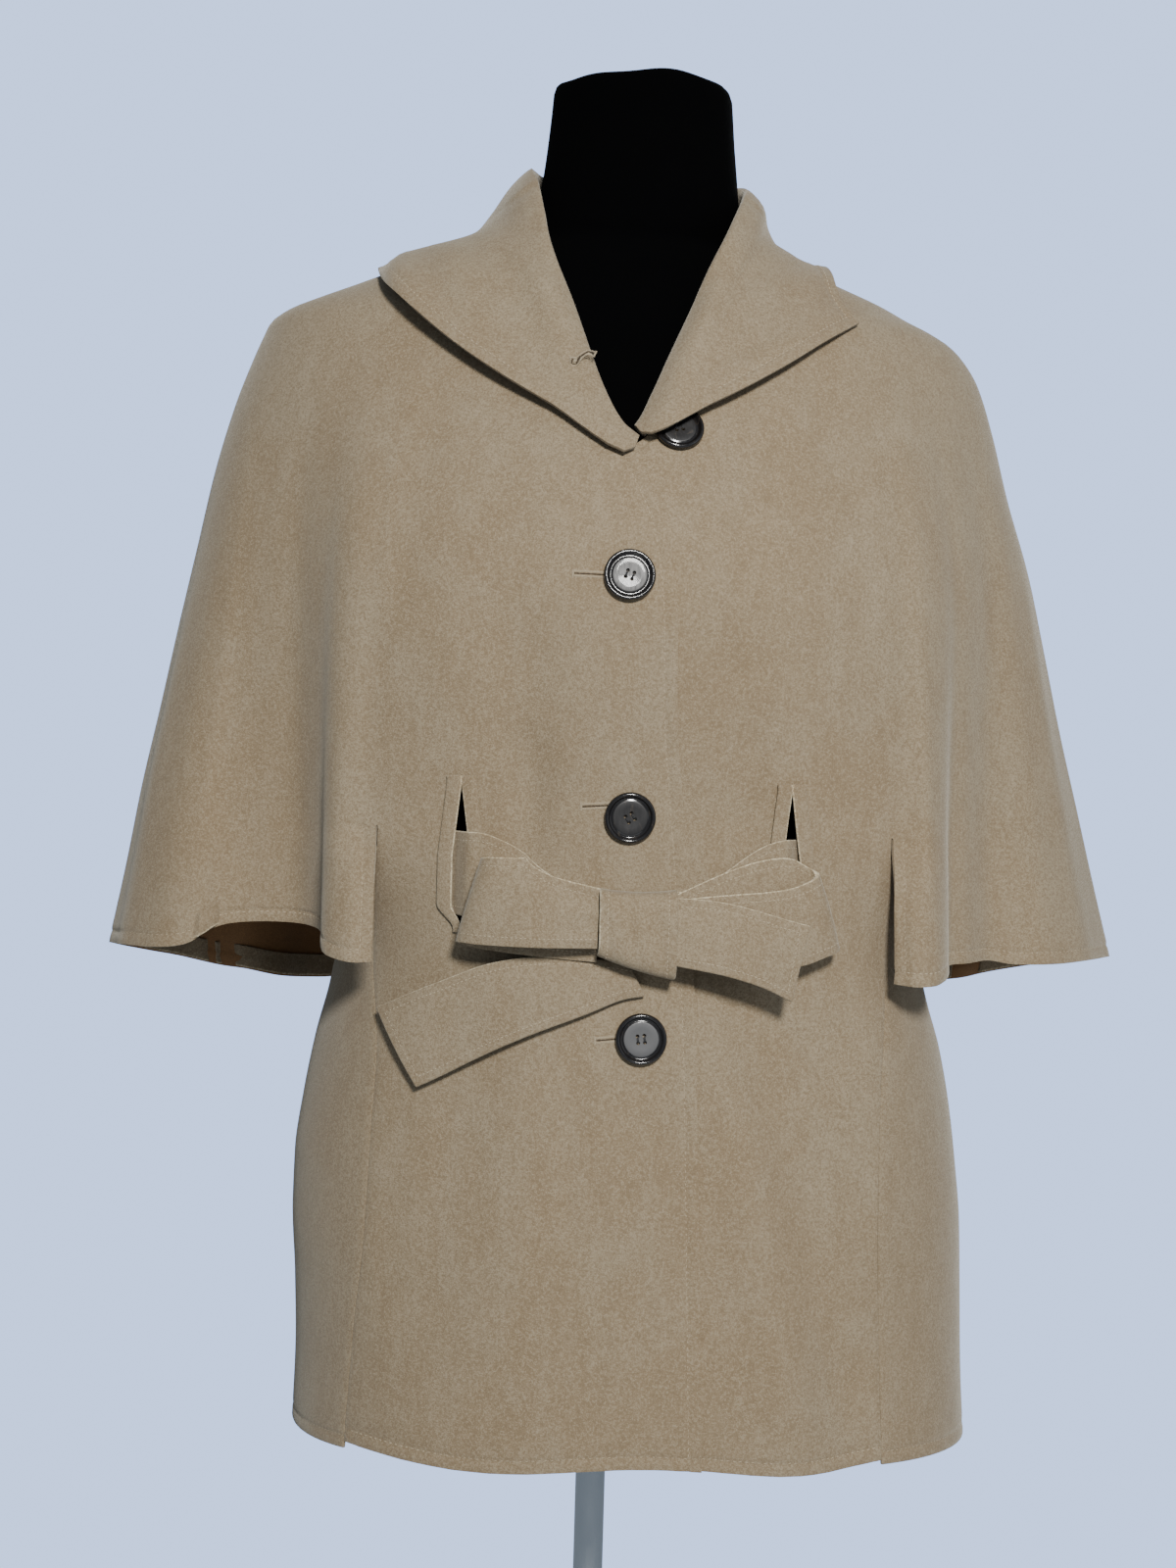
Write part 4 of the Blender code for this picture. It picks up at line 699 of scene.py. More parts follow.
CHROME = polished_chrome()
HORN = horn("horn", 0.12)
HORN_DULL = horn("horn hollow", 0.42)
# The lowest button's hollow: its paler grey ground is painted sheen, the light on the dull hollow
HORN_HOLLOW_PAINTED_SHEEN = horn("horn hollow with painted sheen", 0.46, (0.060, 0.060, 0.062))
# Dark brown of the buttonhole slots: painted shade inside the cut
SLOT_PAINTED_SHADE = plain_nap("painted shade in slot", (0.060, 0.040, 0.022), (0.030, 0.020, 0.011), 0.95, 2500.0, 0.0, 0.0001)


# ---------------------------------------------------------------- stitches


def grains(name, items, material):
    """Short rounded grains: middle, way along, way out, length and thickness of each."""
    bm = bmesh.new()
    bmesh.ops.create_icosphere(bm, subdivisions=1, radius=0.5)
    corners = np.array([v.co[:] for v in bm.verts])
    sides = np.array([[v.index for v in f.verts] for f in bm.faces])
    bm.free()
    points = []
    faces = []
    for k, (middle, along, out, length, thick) in enumerate(items):
        along = unit(np.array(along))
        across = unit(np.cross(np.array(out), along))
        out = np.cross(along, across)
        shape = corners * np.array([length, thick, thick * 0.8])
        points.append(np.array(middle) + shape[:, :1] * along + shape[:, 1:2] * across + shape[:, 2:] * out)
        faces.append(sides + k * len(corners))
    mesh = bpy.data.meshes.new(name)
    mesh.from_pydata(np.concatenate(points).tolist(), [], np.concatenate(faces).tolist())
    mesh.materials.append(material)
    return on_root(linked(name, mesh))


def stitches(name, runs, thick=0.00060, share=0.70, pitch=PITCH, sink=0.00005):
    """Rows of stitches. Each run is points on the cloth's face and their normals."""
    items = []
    for path, outs in runs:
        length = lengths(path)
        n = int(length[-1] / pitch)
        s = (np.arange(n) + 0.5) * length[-1] / n
        here = sampled(length, path, s)
        along = sampled(length, path, s + 0.001) - sampled(length, path, s - 0.001)
        out = unit(sampled(length, outs, s))
        for p, a, o in zip(here - out * sink, along, out):
            items.append((p, a, o, pitch * share, thick))
    return grains(name, items, THREAD)


def sunk_row(distance, at=ROW, width=0.0011):
    """1 on a stitch row, 0 away from it."""
    return np.exp(-(((distance - at) / width) ** 2))


# ---------------------------------------------------------------- cloth panels

UPPER = finer(LEVELS, (1, 2, 2, 4, 5, 5, 5, 4, 3, 4, 5, 5, 4, 4, 6, 7, 7, 7, 7, 8, 8, 7))
LOWER = finer(LOW_LEVELS[:4], (4, 6, 6)) + finer(LOW_LEVELS[3:-1], (7, 8, 8, 9, 10, 11, 12, 12))[1:]
LOWER += [0.7000, 0.6900, 0.6815, HEM_Z + 0.0080, HEM_Z + ROW, HEM_Z + 0.0056, HEM_Z + 0.0028, HEM_Z]
SLASH_ROW = len(UPPER) - 1
HEM_ROWS = (0.0080, ROW, 0.0056, 0.0028, 0.0)
HEM_STITCHES = SLASH_ROW + len(LOWER) - 1 - 3       # the row of cells that the hem's stitches lie on


def cape_shares(n):
    """How far down the cape's lower part each of its rows lies, and its least distance from the hem."""
    height = SLASH_Z - 0.9370
    free = n - len(HEM_ROWS)
    stop = 1 - (HEM_ROWS[0] + 0.0015) / height
    return [stop * (k + 1) / free for k in range(free)] + [1 - d / height for d in HEM_ROWS]


CAPE_ROWS = cape_shares(len(LOWER) - 1)


def slit_half(z):
    """Half the width of a belt slit: a narrow wedge, shut at its upper end and again below the belt."""
    top = np.clip((SLIT_TOP + 0.001 - z) / 0.040, 0.0, 1.0)
    low = smooth((z - SLIT_LOW + 0.001) / 0.012)
    inside = 0.0008 + 0.0048 * top * low
    above = 0.0050 * smooth((z - SLIT_TOP) / 0.030)
    below = 0.0050 * smooth((SLIT_LOW - z) / 0.030)
    return inside + above + below


def slit_middle(z, right):
    x0 = curve(OVER_EDGE if right else UNDER_EDGE, z)
    a, b = SLIT_SHARES[right]
    return x0 + (slash_x(z, right) - x0) * (a + b) / 2


# Distances of the columns beside the front edge, and beside the slash
EDGE_STEPS = (0.0, 0.0026, 0.0054, ROW, 0.0082, 0.0115)
SLASH_STEPS = (0.0, 0.0026, 0.0051, ROW, 0.0085)
TRUNK_PARTS = (18, 4)       # cells from the edge rows to the slit, and past it to the slash
CAPE_PARTS = 54
SLIT_COLUMN = len(EDGE_STEPS) - 1 + TRUNK_PARTS[0]
SLASH_COLUMN = SLIT_COLUMN + TRUNK_PARTS[1] + len(SLASH_STEPS) + 1
LAST_COLUMN = SLASH_COLUMN + CAPE_PARTS
BACK_CAPE = 50
BACK_TRUNK = 62


def front_start(z, right):
    top = TOP_EDGE_R if right else TOP_EDGE_L
    edge = OVER_EDGE if right else UNDER_EDGE
    return np.where(z > V_Z + 0.0001, curve(top, z), curve(edge, z))


def trunk_x(i, z, right):
    """x of a front's column: edge rows, even cells to the slit, the slit, even cells to the slash's rows."""
    sign = -1.0 if right else 1.0
    x0 = front_start(z, right)
    x1 = slash_x(z, right)
    room = np.abs(x1 - x0)
    edge = np.minimum(1.0, room / 0.060)
    marks = [x0 + sign * d * edge for d in EDGE_STEPS]
    middle = slit_middle(z, right)
    half = slit_half(z)
    fair = np.minimum(1.0, np.maximum(room - 0.020, 0.0) / 0.090)
    a = middle - sign * half
    b = middle + sign * half
    share_a, share_b = SLIT_SHARES[right]
    a = a * fair + (x0 + (x1 - x0) * share_a) * (1 - fair)
    b = b * fair + (x0 + (x1 - x0) * share_b) * (1 - fair)
    last_row = marks[-1]
    for k in range(1, TRUNK_PARTS[0] + 1):
        marks.append(last_row + (a - last_row) * k / TRUNK_PARTS[0])
    marks.append(b)
    ends = [x1 - sign * d * edge for d in SLASH_STEPS[::-1]]
    for k in range(1, TRUNK_PARTS[1] + 2):
        marks.append(b + (ends[0] - b) * k / (TRUNK_PARTS[1] + 1))
    marks += ends[1:]
    table = np.stack(marks)
    return table[np.clip(i, 0, len(marks) - 1), np.arange(len(i))]


def cape_q(k, back=False):
    """Share of a cape's column: rows beside the slash, then even cells."""
    n = BACK_CAPE if back else CAPE_PARTS
    width = BACK_CAPE_WIDTH if back else CAPE_WIDTH
    first = [d / width for d in SLASH_STEPS]
    rest = [first[-1] + (1 - first[-1]) * m / (n - 4) for m in range(1, n - 3)]
    table = np.array(first + rest)
    return table[np.clip(k, 0, n)]


def row_z(j, drop, hem):
    """Height of a row: level in the upper part, then down to the hem in both lower parts."""
    upper = np.array(UPPER)[np.clip(j, 0, SLASH_ROW)]
    k = np.clip(j - SLASH_ROW, 0, len(LOWER) - 1)
    low = np.array(LOWER)[k]
    share = (SLASH_Z - low) / (SLASH_Z - HEM_Z)
    body_z = low + (hem - HEM_Z) * share**2
    cape_z = SLASH_Z + drop * np.array([0.0] + CAPE_ROWS)[k]
    return upper, body_z, cape_z


def hold(points, out, depth):
    return points - out * np.asarray(depth)[..., None]


# Creases too small for the solids: the same form as above
FINE_CREASES = (
    (-0.052, 1.035, -0.057, 0.992, 0.006, 0.0012), (-0.105, 1.245, -0.119, 1.130, 0.016, 0.0011),
    (0.112, 1.250, 0.128, 1.120, 0.018, 0.0012), (-0.030, 0.900, -0.018, 0.800, 0.018, 0.0010),
    (0.048, 0.955, 0.082, 0.860, 0.012, 0.0016), (0.092, 0.900, 0.140, 0.745, 0.011, -0.0013),
    (-0.112, 0.860, -0.116, 0.760, 0.012, 0.0011), (0.016, 1.090, 0.022, 1.045, 0.010, 0.0006),
    (-0.082, 0.948, -0.066, 0.925, 0.010, 0.0012), (0.118, 0.940, 0.130, 0.890, 0.012, 0.0014),
)
FINE_BACK = (
    (-0.085, 1.200, -0.098, 1.080, 0.018, 0.0012), (0.090, 1.220, 0.104, 1.090, 0.016, 0.0013),
    (-0.020, 0.960, -0.034, 0.840, 0.016, 0.0012), (0.040, 0.930, 0.055, 0.800, 0.014, 0.0011),
    (-0.090, 0.900, -0.104, 0.740, 0.015, 0.0014), (0.104, 0.880, 0.118, 0.730, 0.016, 0.0013),
)
# Fine folds of the cape: share round it, width, depth over 0 inwards, height where they end
CAPE_FOLDS = {
    (True, False): ((0.16, 0.05, -0.0016, 1.24), (0.34, 0.06, 0.0022, 1.27), (0.62, 0.07, 0.0014, 1.22),
                    (0.83, 0.06, -0.0018, 1.20)),
    (False, False): ((0.13, 0.05, 0.0016, 1.25), (0.30, 0.06, -0.0018, 1.23), (0.52, 0.06, 0.0020, 1.27),
                     (0.78, 0.06, -0.0016, 1.21)),
    (True, True): ((0.20, 0.06, 0.0018, 1.25), (0.47, 0.06, -0.0015, 1.22), (0.76, 0.06, 0.0016, 1.24)),
    (False, True): ((0.24, 0.06, -0.0016, 1.23), (0.50, 0.06, 0.0018, 1.25), (0.74, 0.06, -0.0015, 1.22)),
}


def cape_folds(q, z, right, back):
    total = 0.0
    for at, width, depth, top in CAPE_FOLDS[(right, back)]:
        total = total + depth * smooth((top - z) / 0.16) * np.exp(-(((q - at) / width) ** 2))
    return total * smooth(q / 0.06) * smooth((1 - q) / 0.06)


def panel(name, nodes, bm, i, j, is_cape, points, depth, mark):
    """A cloth panel held in by a depth, its row marks kept; returns each place's point and normal."""
    points = hold(points, normals(bm), depth)
    settle(bm, points)
    numbers(bm, "row", mark)
    out = normals(bm)
    where = {(int(a), int(b), bool(c)): (p, n) for a, b, c, p, n in zip(i, j, is_cape, points, out)}
    obj = finish_piece(name, bm, (SUEDE, REVERSE))
    wall(obj, CLOTH, inner=1)
    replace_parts(obj, *nodes)
    return where


def front(right):
    name = "front_right" if right else "front_left"
    rows = SLASH_ROW + len(LOWER) - 1
    top_row = UPPER.index(SLIT_TOP)
    low_row = SLASH_ROW + LOWER.index(SLIT_LOW)

    def keep(i, j):
        return not (i == SLIT_COLUMN and top_row <= j < low_row)

    bm, i, j, middle = lattice(LAST_COLUMN, rows, keep, (SLASH_COLUMN,), SLASH_ROW)
    is_cape = (i > SLASH_COLUMN) | ((i == SLASH_COLUMN) & (middle > SLASH_COLUMN - 0.01) & (j > SLASH_ROW))
    k = np.maximum(i - SLASH_COLUMN, 0)
    q = cape_q(k)
    upper, _, cape_z = row_z(j, hem_height(q, right) - SLASH_Z, HEM_Z)
    guess = trunk_x(np.minimum(i, SLASH_COLUMN), np.where(j > SLASH_ROW, 0.80, upper), right)
    _, body_z, _ = row_z(j, 0.0, body_hem(guess))
    low = j > SLASH_ROW
    tz = np.where(low, body_z, upper)
    cz = np.where(low, cape_z, upper)
    tx = trunk_x(np.minimum(i, SLASH_COLUMN), tz, right)
    tx = np.where(low & (i == SLASH_COLUMN), tx + (SEAM / 2 if right else -SEAM / 2), tx)
    flat = front_point(tx, tz, right)
    caped = cape(cz, q, right)
    inset = -SLASH_GAP if right else SLASH_GAP
    caped[:, 0] += np.where(low & (k == 0), inset, 0.0)
    caped[:, 1] -= np.where(i == LAST_COLUMN, SEAM / 2, 0.0)
    points = np.where(is_cape[:, None], caped, flat)
    turn_outwards(bm, points, from_axis(points))
    # Distances from the edges that carry a stitch row
    edge = np.abs(points[:, 0] - front_start(points[:, 2], right))
    from_hem = np.where(is_cape, cz - hem_height(q, right), tz - body_hem(tx))
    from_slash = np.where(is_cape, q * CAPE_WIDTH, 1.0)
    from_slash = np.where(low | (upper < SLASH_Z + 0.004), from_slash, 1.0)
    mark = np.where(is_cape & low, np.maximum(sunk_row(from_hem), sunk_row(from_slash)), 0.0)
    mark = np.where(~is_cape, np.maximum(sunk_row(edge), sunk_row(from_hem)), mark)
    depth = SINK * mark
    fine = np.where(is_cape, cape_folds(q, cz, right, False), strokes(FINE_CREASES, tx, tz))
    # The cloth draws in a little along the row of the hem
    pucker = 0.00018 * np.sin(i * 2.1 + j * 0.3) * np.exp(-((from_hem / 0.010) ** 2))
    return panel(name + "_cloth", (name,), bm, i, j, is_cape, points, depth + fine + pucker, mark)


def run_of(where, keys, lift=CLOTH / 2):
    points = []
    outs = []
    for key in keys:
        if key in where:
            p, n = where[key]
            points.append(p + n * lift)
            outs.append(n)
    return np.array(points), np.array(outs)


def front_stitches(right, where):
    slash_row = SLASH_COLUMN + SLASH_STEPS.index(ROW)
    edge_row = EDGE_STEPS.index(ROW)
    runs = [
        run_of(where, [(i, HEM_STITCHES, False) for i in range(edge_row, SLASH_COLUMN)]),
        run_of(where, [(i, HEM_STITCHES, True) for i in range(slash_row, LAST_COLUMN)]),
        run_of(where, [(slash_row, j, True) for j in range(SLASH_ROW + 1, HEM_STITCHES + 1)]),
    ]
    if right:
        start = UPPER.index(V_Z) + 3
        runs.insert(0, run_of(where, [(edge_row, j, False) for j in range(start, HEM_STITCHES + 1)]))
    stitches("stitches_front_" + ("right" if right else "left"), runs)


def back():
    n = BACK_CAPE
    first = n
    second = n + BACK_TRUNK
    last = second + n
    rows = SLASH_ROW + len(LOWER) - 1
    bm, i, j, middle = lattice(last, rows, None, (first, second), SLASH_ROW)
    low = j > SLASH_ROW
    on_right = (i < first) | ((i == first) & (middle < first) & low)
    on_left = (i > second) | ((i == second) & (middle > second) & low)
    is_cape = on_right | on_left
    k = np.where(on_right, first - i, np.where(on_left, i - second, 0))
    q = cape_q(k, True)
    hem = np.where(on_right, hem_height(q, True, True), hem_height(q, False, True))
    upper, _, cape_z = row_z(j, hem - SLASH_Z, HEM_Z)
    t = (np.clip(i, first, second) - first) / BACK_TRUNK
    guess = slash_x(0.8, True, True) + (slash_x(0.8, False, True) - slash_x(0.8, True, True)) * t
    _, body_z, _ = row_z(j, 0.0, body_hem(guess) - 0.004)
    tz = np.where(low, body_z, upper)
    cz = np.where(low, cape_z, upper)
    shift = np.where(low, SEAM / 2, 0.0)
    x0 = slash_x(tz, True, True) + shift
    x1 = slash_x(tz, False, True) - shift
    tx = x0 + (x1 - x0) * t
    flat = trunk(tx, tz, True)
    right_cape = cape(cz, q, True, True)
    left_cape = cape(cz, q, False, True)
    caped = np.where(on_right[:, None], right_cape, left_cape)
    caped[:, 0] += np.where(low & (k == 0), np.where(on_right, -SLASH_GAP, SLASH_GAP), 0.0)
    caped[:, 1] += np.where(is_cape & (k == n), SEAM / 2, 0.0)
    points = np.where(is_cape[:, None], caped, flat)
    turn_outwards(bm, points, from_axis(points))
    from_hem = np.where(is_cape, cz - hem, tz - body_hem(tx) + 0.004)
    from_slash = np.where(is_cape & (low | (upper < SLASH_Z + 0.004)), q * BACK_CAPE_WIDTH, 1.0)
    mark = np.where(is_cape & low, np.maximum(sunk_row(from_hem), sunk_row(from_slash)), 0.0)
    mark = np.where(~is_cape, sunk_row(from_hem), mark)
    fold_r = cape_folds(q, cz, True, True)
    fold_l = cape_folds(q, cz, False, True)
    fine = np.where(on_right, fold_r, np.where(on_left, fold_l, strokes(FINE_BACK, tx, tz)))
    nodes = ("back_right", "back_left")
    where = panel("back_cloth", nodes, bm, i, j, is_cape, points, SINK * mark + fine, mark)
    beside = SLASH_STEPS.index(ROW)
    down = range(SLASH_ROW + 1, HEM_STITCHES + 1)
    runs = [
        run_of(where, [(a, HEM_STITCHES, False) for a in range(first, second + 1)]),
        run_of(where, [(a, HEM_STITCHES, True) for a in range(1, first - beside + 1)]),
        run_of(where, [(a, HEM_STITCHES, True) for a in range(second + beside, last)]),
        run_of(where, [(first - beside, b, True) for b in down]),
        run_of(where, [(second + beside, b, True) for b in down]),
    ]
    stitches("stitches_back", runs)


def side_panel(right):
    """Panel under the cape, from the front seam to the back seam."""
    columns = 40
    name = "side_right" if right else "side_left"
    levels = [z for z in LOWER if z <= SIDE_TOP + 0.00001]
    rows = len(levels) - 1
    bm, i, j, _ = lattice(columns, rows)
    t = i / columns
    z = np.array(levels)[j]
    share = (SIDE_TOP - z) / (SIDE_TOP - HEM_Z)
    arch = np.sin(np.pi * t)
    z = z + 0.014 * arch * (1 - share) ** 4 - (0.004 * arch + 0.002) * share**2
    points = side(z, t, right)
    turn_outwards(bm, points, from_axis(points))
    ahead = side(z, np.minimum(t + 0.01, 1.0), right) - side(z, np.maximum(t - 0.01, 0.0), right)
    ahead = unit(ahead)
    inset = np.where(j == 0, SEAM * 2, SEAM / 2)
    points = points + ahead * np.where(i == 0, inset, np.where(i == columns, -inset, 0.0))[:, None]
    from_hem = z - (HEM_Z - 0.004 * arch - 0.002)
    mark = sunk_row(from_hem)
    wave = 0.0011 * np.sin(2 * np.pi * (t * 1.6 + 0.2)) * smooth((0.93 - z) / 0.15) * arch
    no_cape = np.zeros(len(i), bool)
    where = panel(name + "_cloth", (name,), bm, i, j, no_cape, points, SINK * mark + wave, mark)
    stitches("stitches_" + name, [run_of(where, [(a, rows - 3, False) for a in range(columns + 1)])])


# ---------------------------------------------------------------- collar

# From the foot of the V to the middle of the back: place on the top edge, roll, outer edge
COLLAR_R = (
    (1.2142, None, (-0.1385, -0.0190, 1.3250)),
    (1.2415, None, (-0.1352, -0.0100, 1.3290)),
    (1.2720, None, (-0.1340, 0.0020, 1.3300)),
    (1.3060, None, (-0.1310, 0.0140, 1.3290)),
    (1.3360, (-0.0428, -0.0560, 1.3520), (-0.1260, 0.0300, 1.3260)),
    (1.3520, (-0.0468, -0.0290, 1.3800), (-0.1160, 0.0480, 1.3220)),
    (112.0, (-0.0492, 0.0050, 1.3975), (-0.1000, 0.0660, 1.3160)),
    (135.0, (-0.0405, 0.0375, 1.4015), (-0.0720, 0.0800, 1.3110)),
    (158.0, (-0.0210, 0.0530, 1.4030), (-0.0370, 0.0890, 1.3080)),
    (180.0, (0.0070, 0.0575, 1.4035), (0.0040, 0.0920, 1.3070)),
)
COLLAR_L = (
    (1.2225, None, (0.1322, -0.0650, 1.2985)),
    (1.2450, None, (0.1235, -0.0530, 1.3085)),
    (1.2720, None, (0.1150, -0.0340, 1.3180)),
    (1.3060, None, (0.1130, -0.0100, 1.3260)),
    (1.3360, (0.0570, -0.0580, 1.3520), (0.1140, 0.0170, 1.3270)),
    (1.3520, (0.0680, -0.0280, 1.3770), (0.1090, 0.0410, 1.3240)),
    (68.0, (0.0726, 0.0065, 1.3920), (0.0980, 0.0625, 1.3175)),
    (45.0, (0.0610, 0.0385, 1.3995), (0.0800, 0.0790, 1.3110)),
    (22.0, (0.0370, 0.0535, 1.4025), (0.0450, 0.0890, 1.3080)),
    (0.0, (0.0070, 0.0575, 1.4035), (0.0040, 0.0920, 1.3070)),
)
COLLAR_LIFT = 0.0040
FALL = 24                # places along the collar's section from here on belong to its fall
# How far the revers hang at their lower ends, from the roll outwards
REVERS_SAG = {True: (0.0060, 0.0195, 0.0230, 0.0140), False: (0.0050, 0.0095, 0.0095, 0.0045)}
ROLL_IN = 0.0074
ROLL_UP = 0.0026
COLLAR_GAP = 0.0009


def gap_to_shell(p):
    """Rough distance of points from the upper jacket's middle surface, over 0 outside, and its direction."""

    def g(x, y, z):
        m = curve(MIDDLE, z)
        grow = np.maximum(z - NECK_Z, 0.0) * 2.4
        wr = m - outline(np.minimum(z, NECK_Z), True) - grow
        wl = outline(np.minimum(z, NECK_Z), False) - m - grow
        low = np.minimum(z, NECK_Z)
        d = np.where(y < 0, curve(DEPTH, low, 1), curve(DEPTH, low, 2)) - grow * 0.3
        w = np.maximum(np.where(x < m, wr, wl), 0.01)
        return ((x - m) / w) ** 2 + (np.abs(y) / np.maximum(d, 0.01)) ** (2 / curve(POINT, z)) - 1

    e = 0.0005
    x, y, z = p[..., 0], p[..., 1], p[..., 2]
    v = g(x, y, z)
    grad = np.stack(
        [
            g(x + e, y, z) - g(x - e, y, z),
            g(x, y + e, z) - g(x, y - e, z),
            g(x, y, z + e) - g(x, y, z - e),
        ],
        -1,
    ) / (2 * e)
    size = np.maximum(np.linalg.norm(grad, axis=-1), 1e-6)
    return v / size, grad / size[..., None]


def lift(p, least):
    """Moves points outwards until they lie at least this far from the upper jacket."""
    for _ in range(6):
        d, n = gap_to_shell(p)
        p = p + n * np.maximum(least - d, 0.0)[..., None]
    return p


def spread(rows, k, f):
    """Smooth value between rows k and k + 1."""
    a = rows[k]
    b = rows[k + 1]
    before = rows[k - 1] if k else 2 * a - b
    after = rows[k + 2] if k + 2 < len(rows) else 2 * b - a
    second = 2 * before - 5 * a + 4 * b - after
    third = 3 * a - before - 3 * b + after
    return 0.5 * (2 * a + (b - before) * f + second * f * f + third * f**3)


def facing(n, outwards):
    return n if np.dot(n, outwards) >= 0 else -n


def top_edge(right, place):
    """Point, inward direction and normal on a front's top edge, at a height."""
    table = TOP_EDGE_R if right else TOP_EDGE_L

    def at(z):
        return front_point(curve(table, z), np.asarray(z), right)

    z = min(place, 1.3500)
    p = at(place)
    t = at(z + 0.0015) - at(z - 0.0015)
    n = trunk_normal(p[0], p[2])
    inward = unit(np.cross(n, t))
    return p, facing(inward, np.array([AXIS_X, 0.0, p[2] + 0.05]) - p), n


def top_edge_back(turn):
    """The same at the back, at an angle of 90 to 180 degrees from the front."""
    a = math.radians(turn)
    p = shell(NECK_Z, a)
    t = shell(NECK_Z, a + 0.02) - shell(NECK_Z, a - 0.02)
    down = shell(NECK_Z - 0.003, a) - p
    n = unit(facing(np.cross(t, down), np.array([p[0] - AXIS_X, p[1], 0.12])))
    inward = unit(np.cross(n, t))
    return p, facing(inward, np.array([AXIS_X, 0.0, p[2] + 0.05]) - p), n


def collar_edges(u):
    """Place in a half, the outer edge and the points before they are lifted, at share u round the collar."""
    right = u <= 0.5
    stations = COLLAR_R if right else COLLAR_L
    s = (u if right else 1 - u) * 2 * (len(stations) - 1)
    k = min(int(s), len(stations) - 2)
    f = s - k
    if s <= 5:
        heights = np.array([st[0] for st in stations[:6]])
        j = min(k, 4)
        place = min(max(float(spread(heights, j, s - j)), stations[0][0]), 1.35199)
        edge, inward, n = top_edge(right, place)
    else:
        table = TOP_EDGE_R if right else TOP_EDGE_L
        corner = abs(math.degrees(shell_angle(NECK_Z, curve(table, NECK_Z))))
        turn = corner + (180 - corner) * (s - 5) / 4
        edge, inward, n = top_edge_back(-turn if right else turn)
    neck = float(smooth((s - 2.7) / 1.5))
    outer = spread([np.array(st[2]) for st in stations], k, f)
    foot = edge + inward * (COLLAR_GAP + 0.0006 * math.exp(-(((s - 5) / 0.8) ** 2)))
    bend = edge + inward * 0.0034 + n * 0.0003 + np.array([0.0, 0.0, 0.0006 * neck])
    wall_point = edge + inward * 0.0060 + n * 0.0006
    roll = edge + inward * ROLL_IN + n * ROLL_UP
    fall = edge + inward * 0.0042 + n * 0.0058
    if neck > 0:
        rolls = [np.array(st[1], float) for st in stations[4:]]
        at = spread(rolls, k - 4, f) if s >= 4 else rolls[0] + (rolls[0] - rolls[1]) * (4 - s)
        out = unit(np.array([-inward[0], -inward[1], 0.0]))
        up = np.array([0.0, 0.0, 1.0])
        wall_point = wall_point * (1 - neck) + (bend * 0.42 + (at - up * 0.004) * 0.58) * neck
        roll = roll * (1 - neck) + (at + out * 0.0032) * neck
        fall = fall * (1 - neck) + (at + out * 0.0096 - up * 0.0050) * neck
    return s, neck, outer, foot, bend, wall_point, roll, fall


def through(points, t):
    """Points at places t, in numbers of points, of smooth lines through unevenly spaced points (axis 1)."""
    h = np.maximum(np.linalg.norm(np.diff(points, axis=1), axis=-1, keepdims=True), 1e-6)
    step = np.diff(points, axis=1) / h
    slope = np.empty_like(points)
    slope[:, 0] = step[:, 0]
    slope[:, -1] = step[:, -1]
    slope[:, 1:-1] = (step[:, :-1] * h[:, 1:] + step[:, 1:] * h[:, :-1]) / (h[:, :-1] + h[:, 1:])
    k = np.minimum(t.astype(int), points.shape[1] - 2)
    u = (t - k)[None, :, None]
    return eased(points[:, k], points[:, k + 1], slope[:, k] * h[:, k], slope[:, k + 1] * h[:, k], u)


def lift_evenly(points, least):
    """Lifts a run of points round the collar, the shift evened along it and never upwards at the neck."""
    shift = lift(points, least) - points
    shift[:, 2] *= 1 - smooth((points[:, 2] - NECK_Z + 0.004) / 0.010)
    padded = np.concatenate([np.repeat(shift[:1], 5, 0), shift, np.repeat(shift[-1:], 5, 0)])
    return points + np.stack([np.convolve(padded[:, c], np.ones(11) / 11, "valid") for c in range(3)], 1)


def collar_grid():
    """Points of the collar: stations round the neck by places from the neckline to the outer edge."""
    near = np.linspace(0.0, 0.055, 19)[:-1]
    us = np.concatenate([near, np.linspace(0.055, 0.945, 150), 1 - near[::-1]])
    parts = [collar_edges(float(u)) for u in us]
    s = np.array([p[0] for p in parts])
    neck = np.array([p[1] for p in parts])
    outer, foot, bend, wall_point, roll, fall = (np.array([p[k] for p in parts]) for k in range(2, 8))
    outer = lift(outer, COLLAR_LIFT)
    off = np.exp(-((s / 1.3) ** 2))
    reach = np.maximum(0.0, 1 - s / 3.0) ** 1.5
    down = np.array([REVERS_SAG[bool(u <= 0.5)] for u in us]) * reach[:, None]
    sag = np.zeros((4,) + fall.shape)
    sag[:, :, 2] = -down.T
    fall = fall + sag[0]
    fall = fall + (lift_evenly(fall, 0.0060) - fall) * (1 - neck)[:, None]
    bulge = np.zeros_like(fall)
    bulge[:, 2] = 0.004 * neck
    first = lift_evenly(fall * 0.70 + outer * 0.30 + bulge + sag[1], 0.0058 + 0.0034 * off)
    second = lift_evenly(fall * 0.42 + outer * 0.58 + bulge * 0.7 + sag[2], 0.0050 + 0.0046 * off)
    third = lift_evenly(fall * 0.18 + outer * 0.82 + sag[3], 0.0044 + 0.0026 * off)
    section = np.stack([foot, bend, wall_point, roll, fall, first, second, third, outer], 1)
    over = FALL - 1
    dense = through(section, np.concatenate([np.linspace(0, 4.4, over), np.linspace(4.5, 8.0, 120)]))
    rows = []
    for points in dense:
        length = lengths(points[over - 1 :])
        stop = length[-1] - 0.0120
        marks = [stop * m / 22 for m in range(1, 23)]
        marks += [length[-1] - d for d in (0.0092, 0.0080, ROW, 0.0056, 0.0036, 0.0018, 0.0)]
        rows.append(np.concatenate([points[:over], sampled(length, points[over - 1 :], marks)]))
    return np.array(rows)


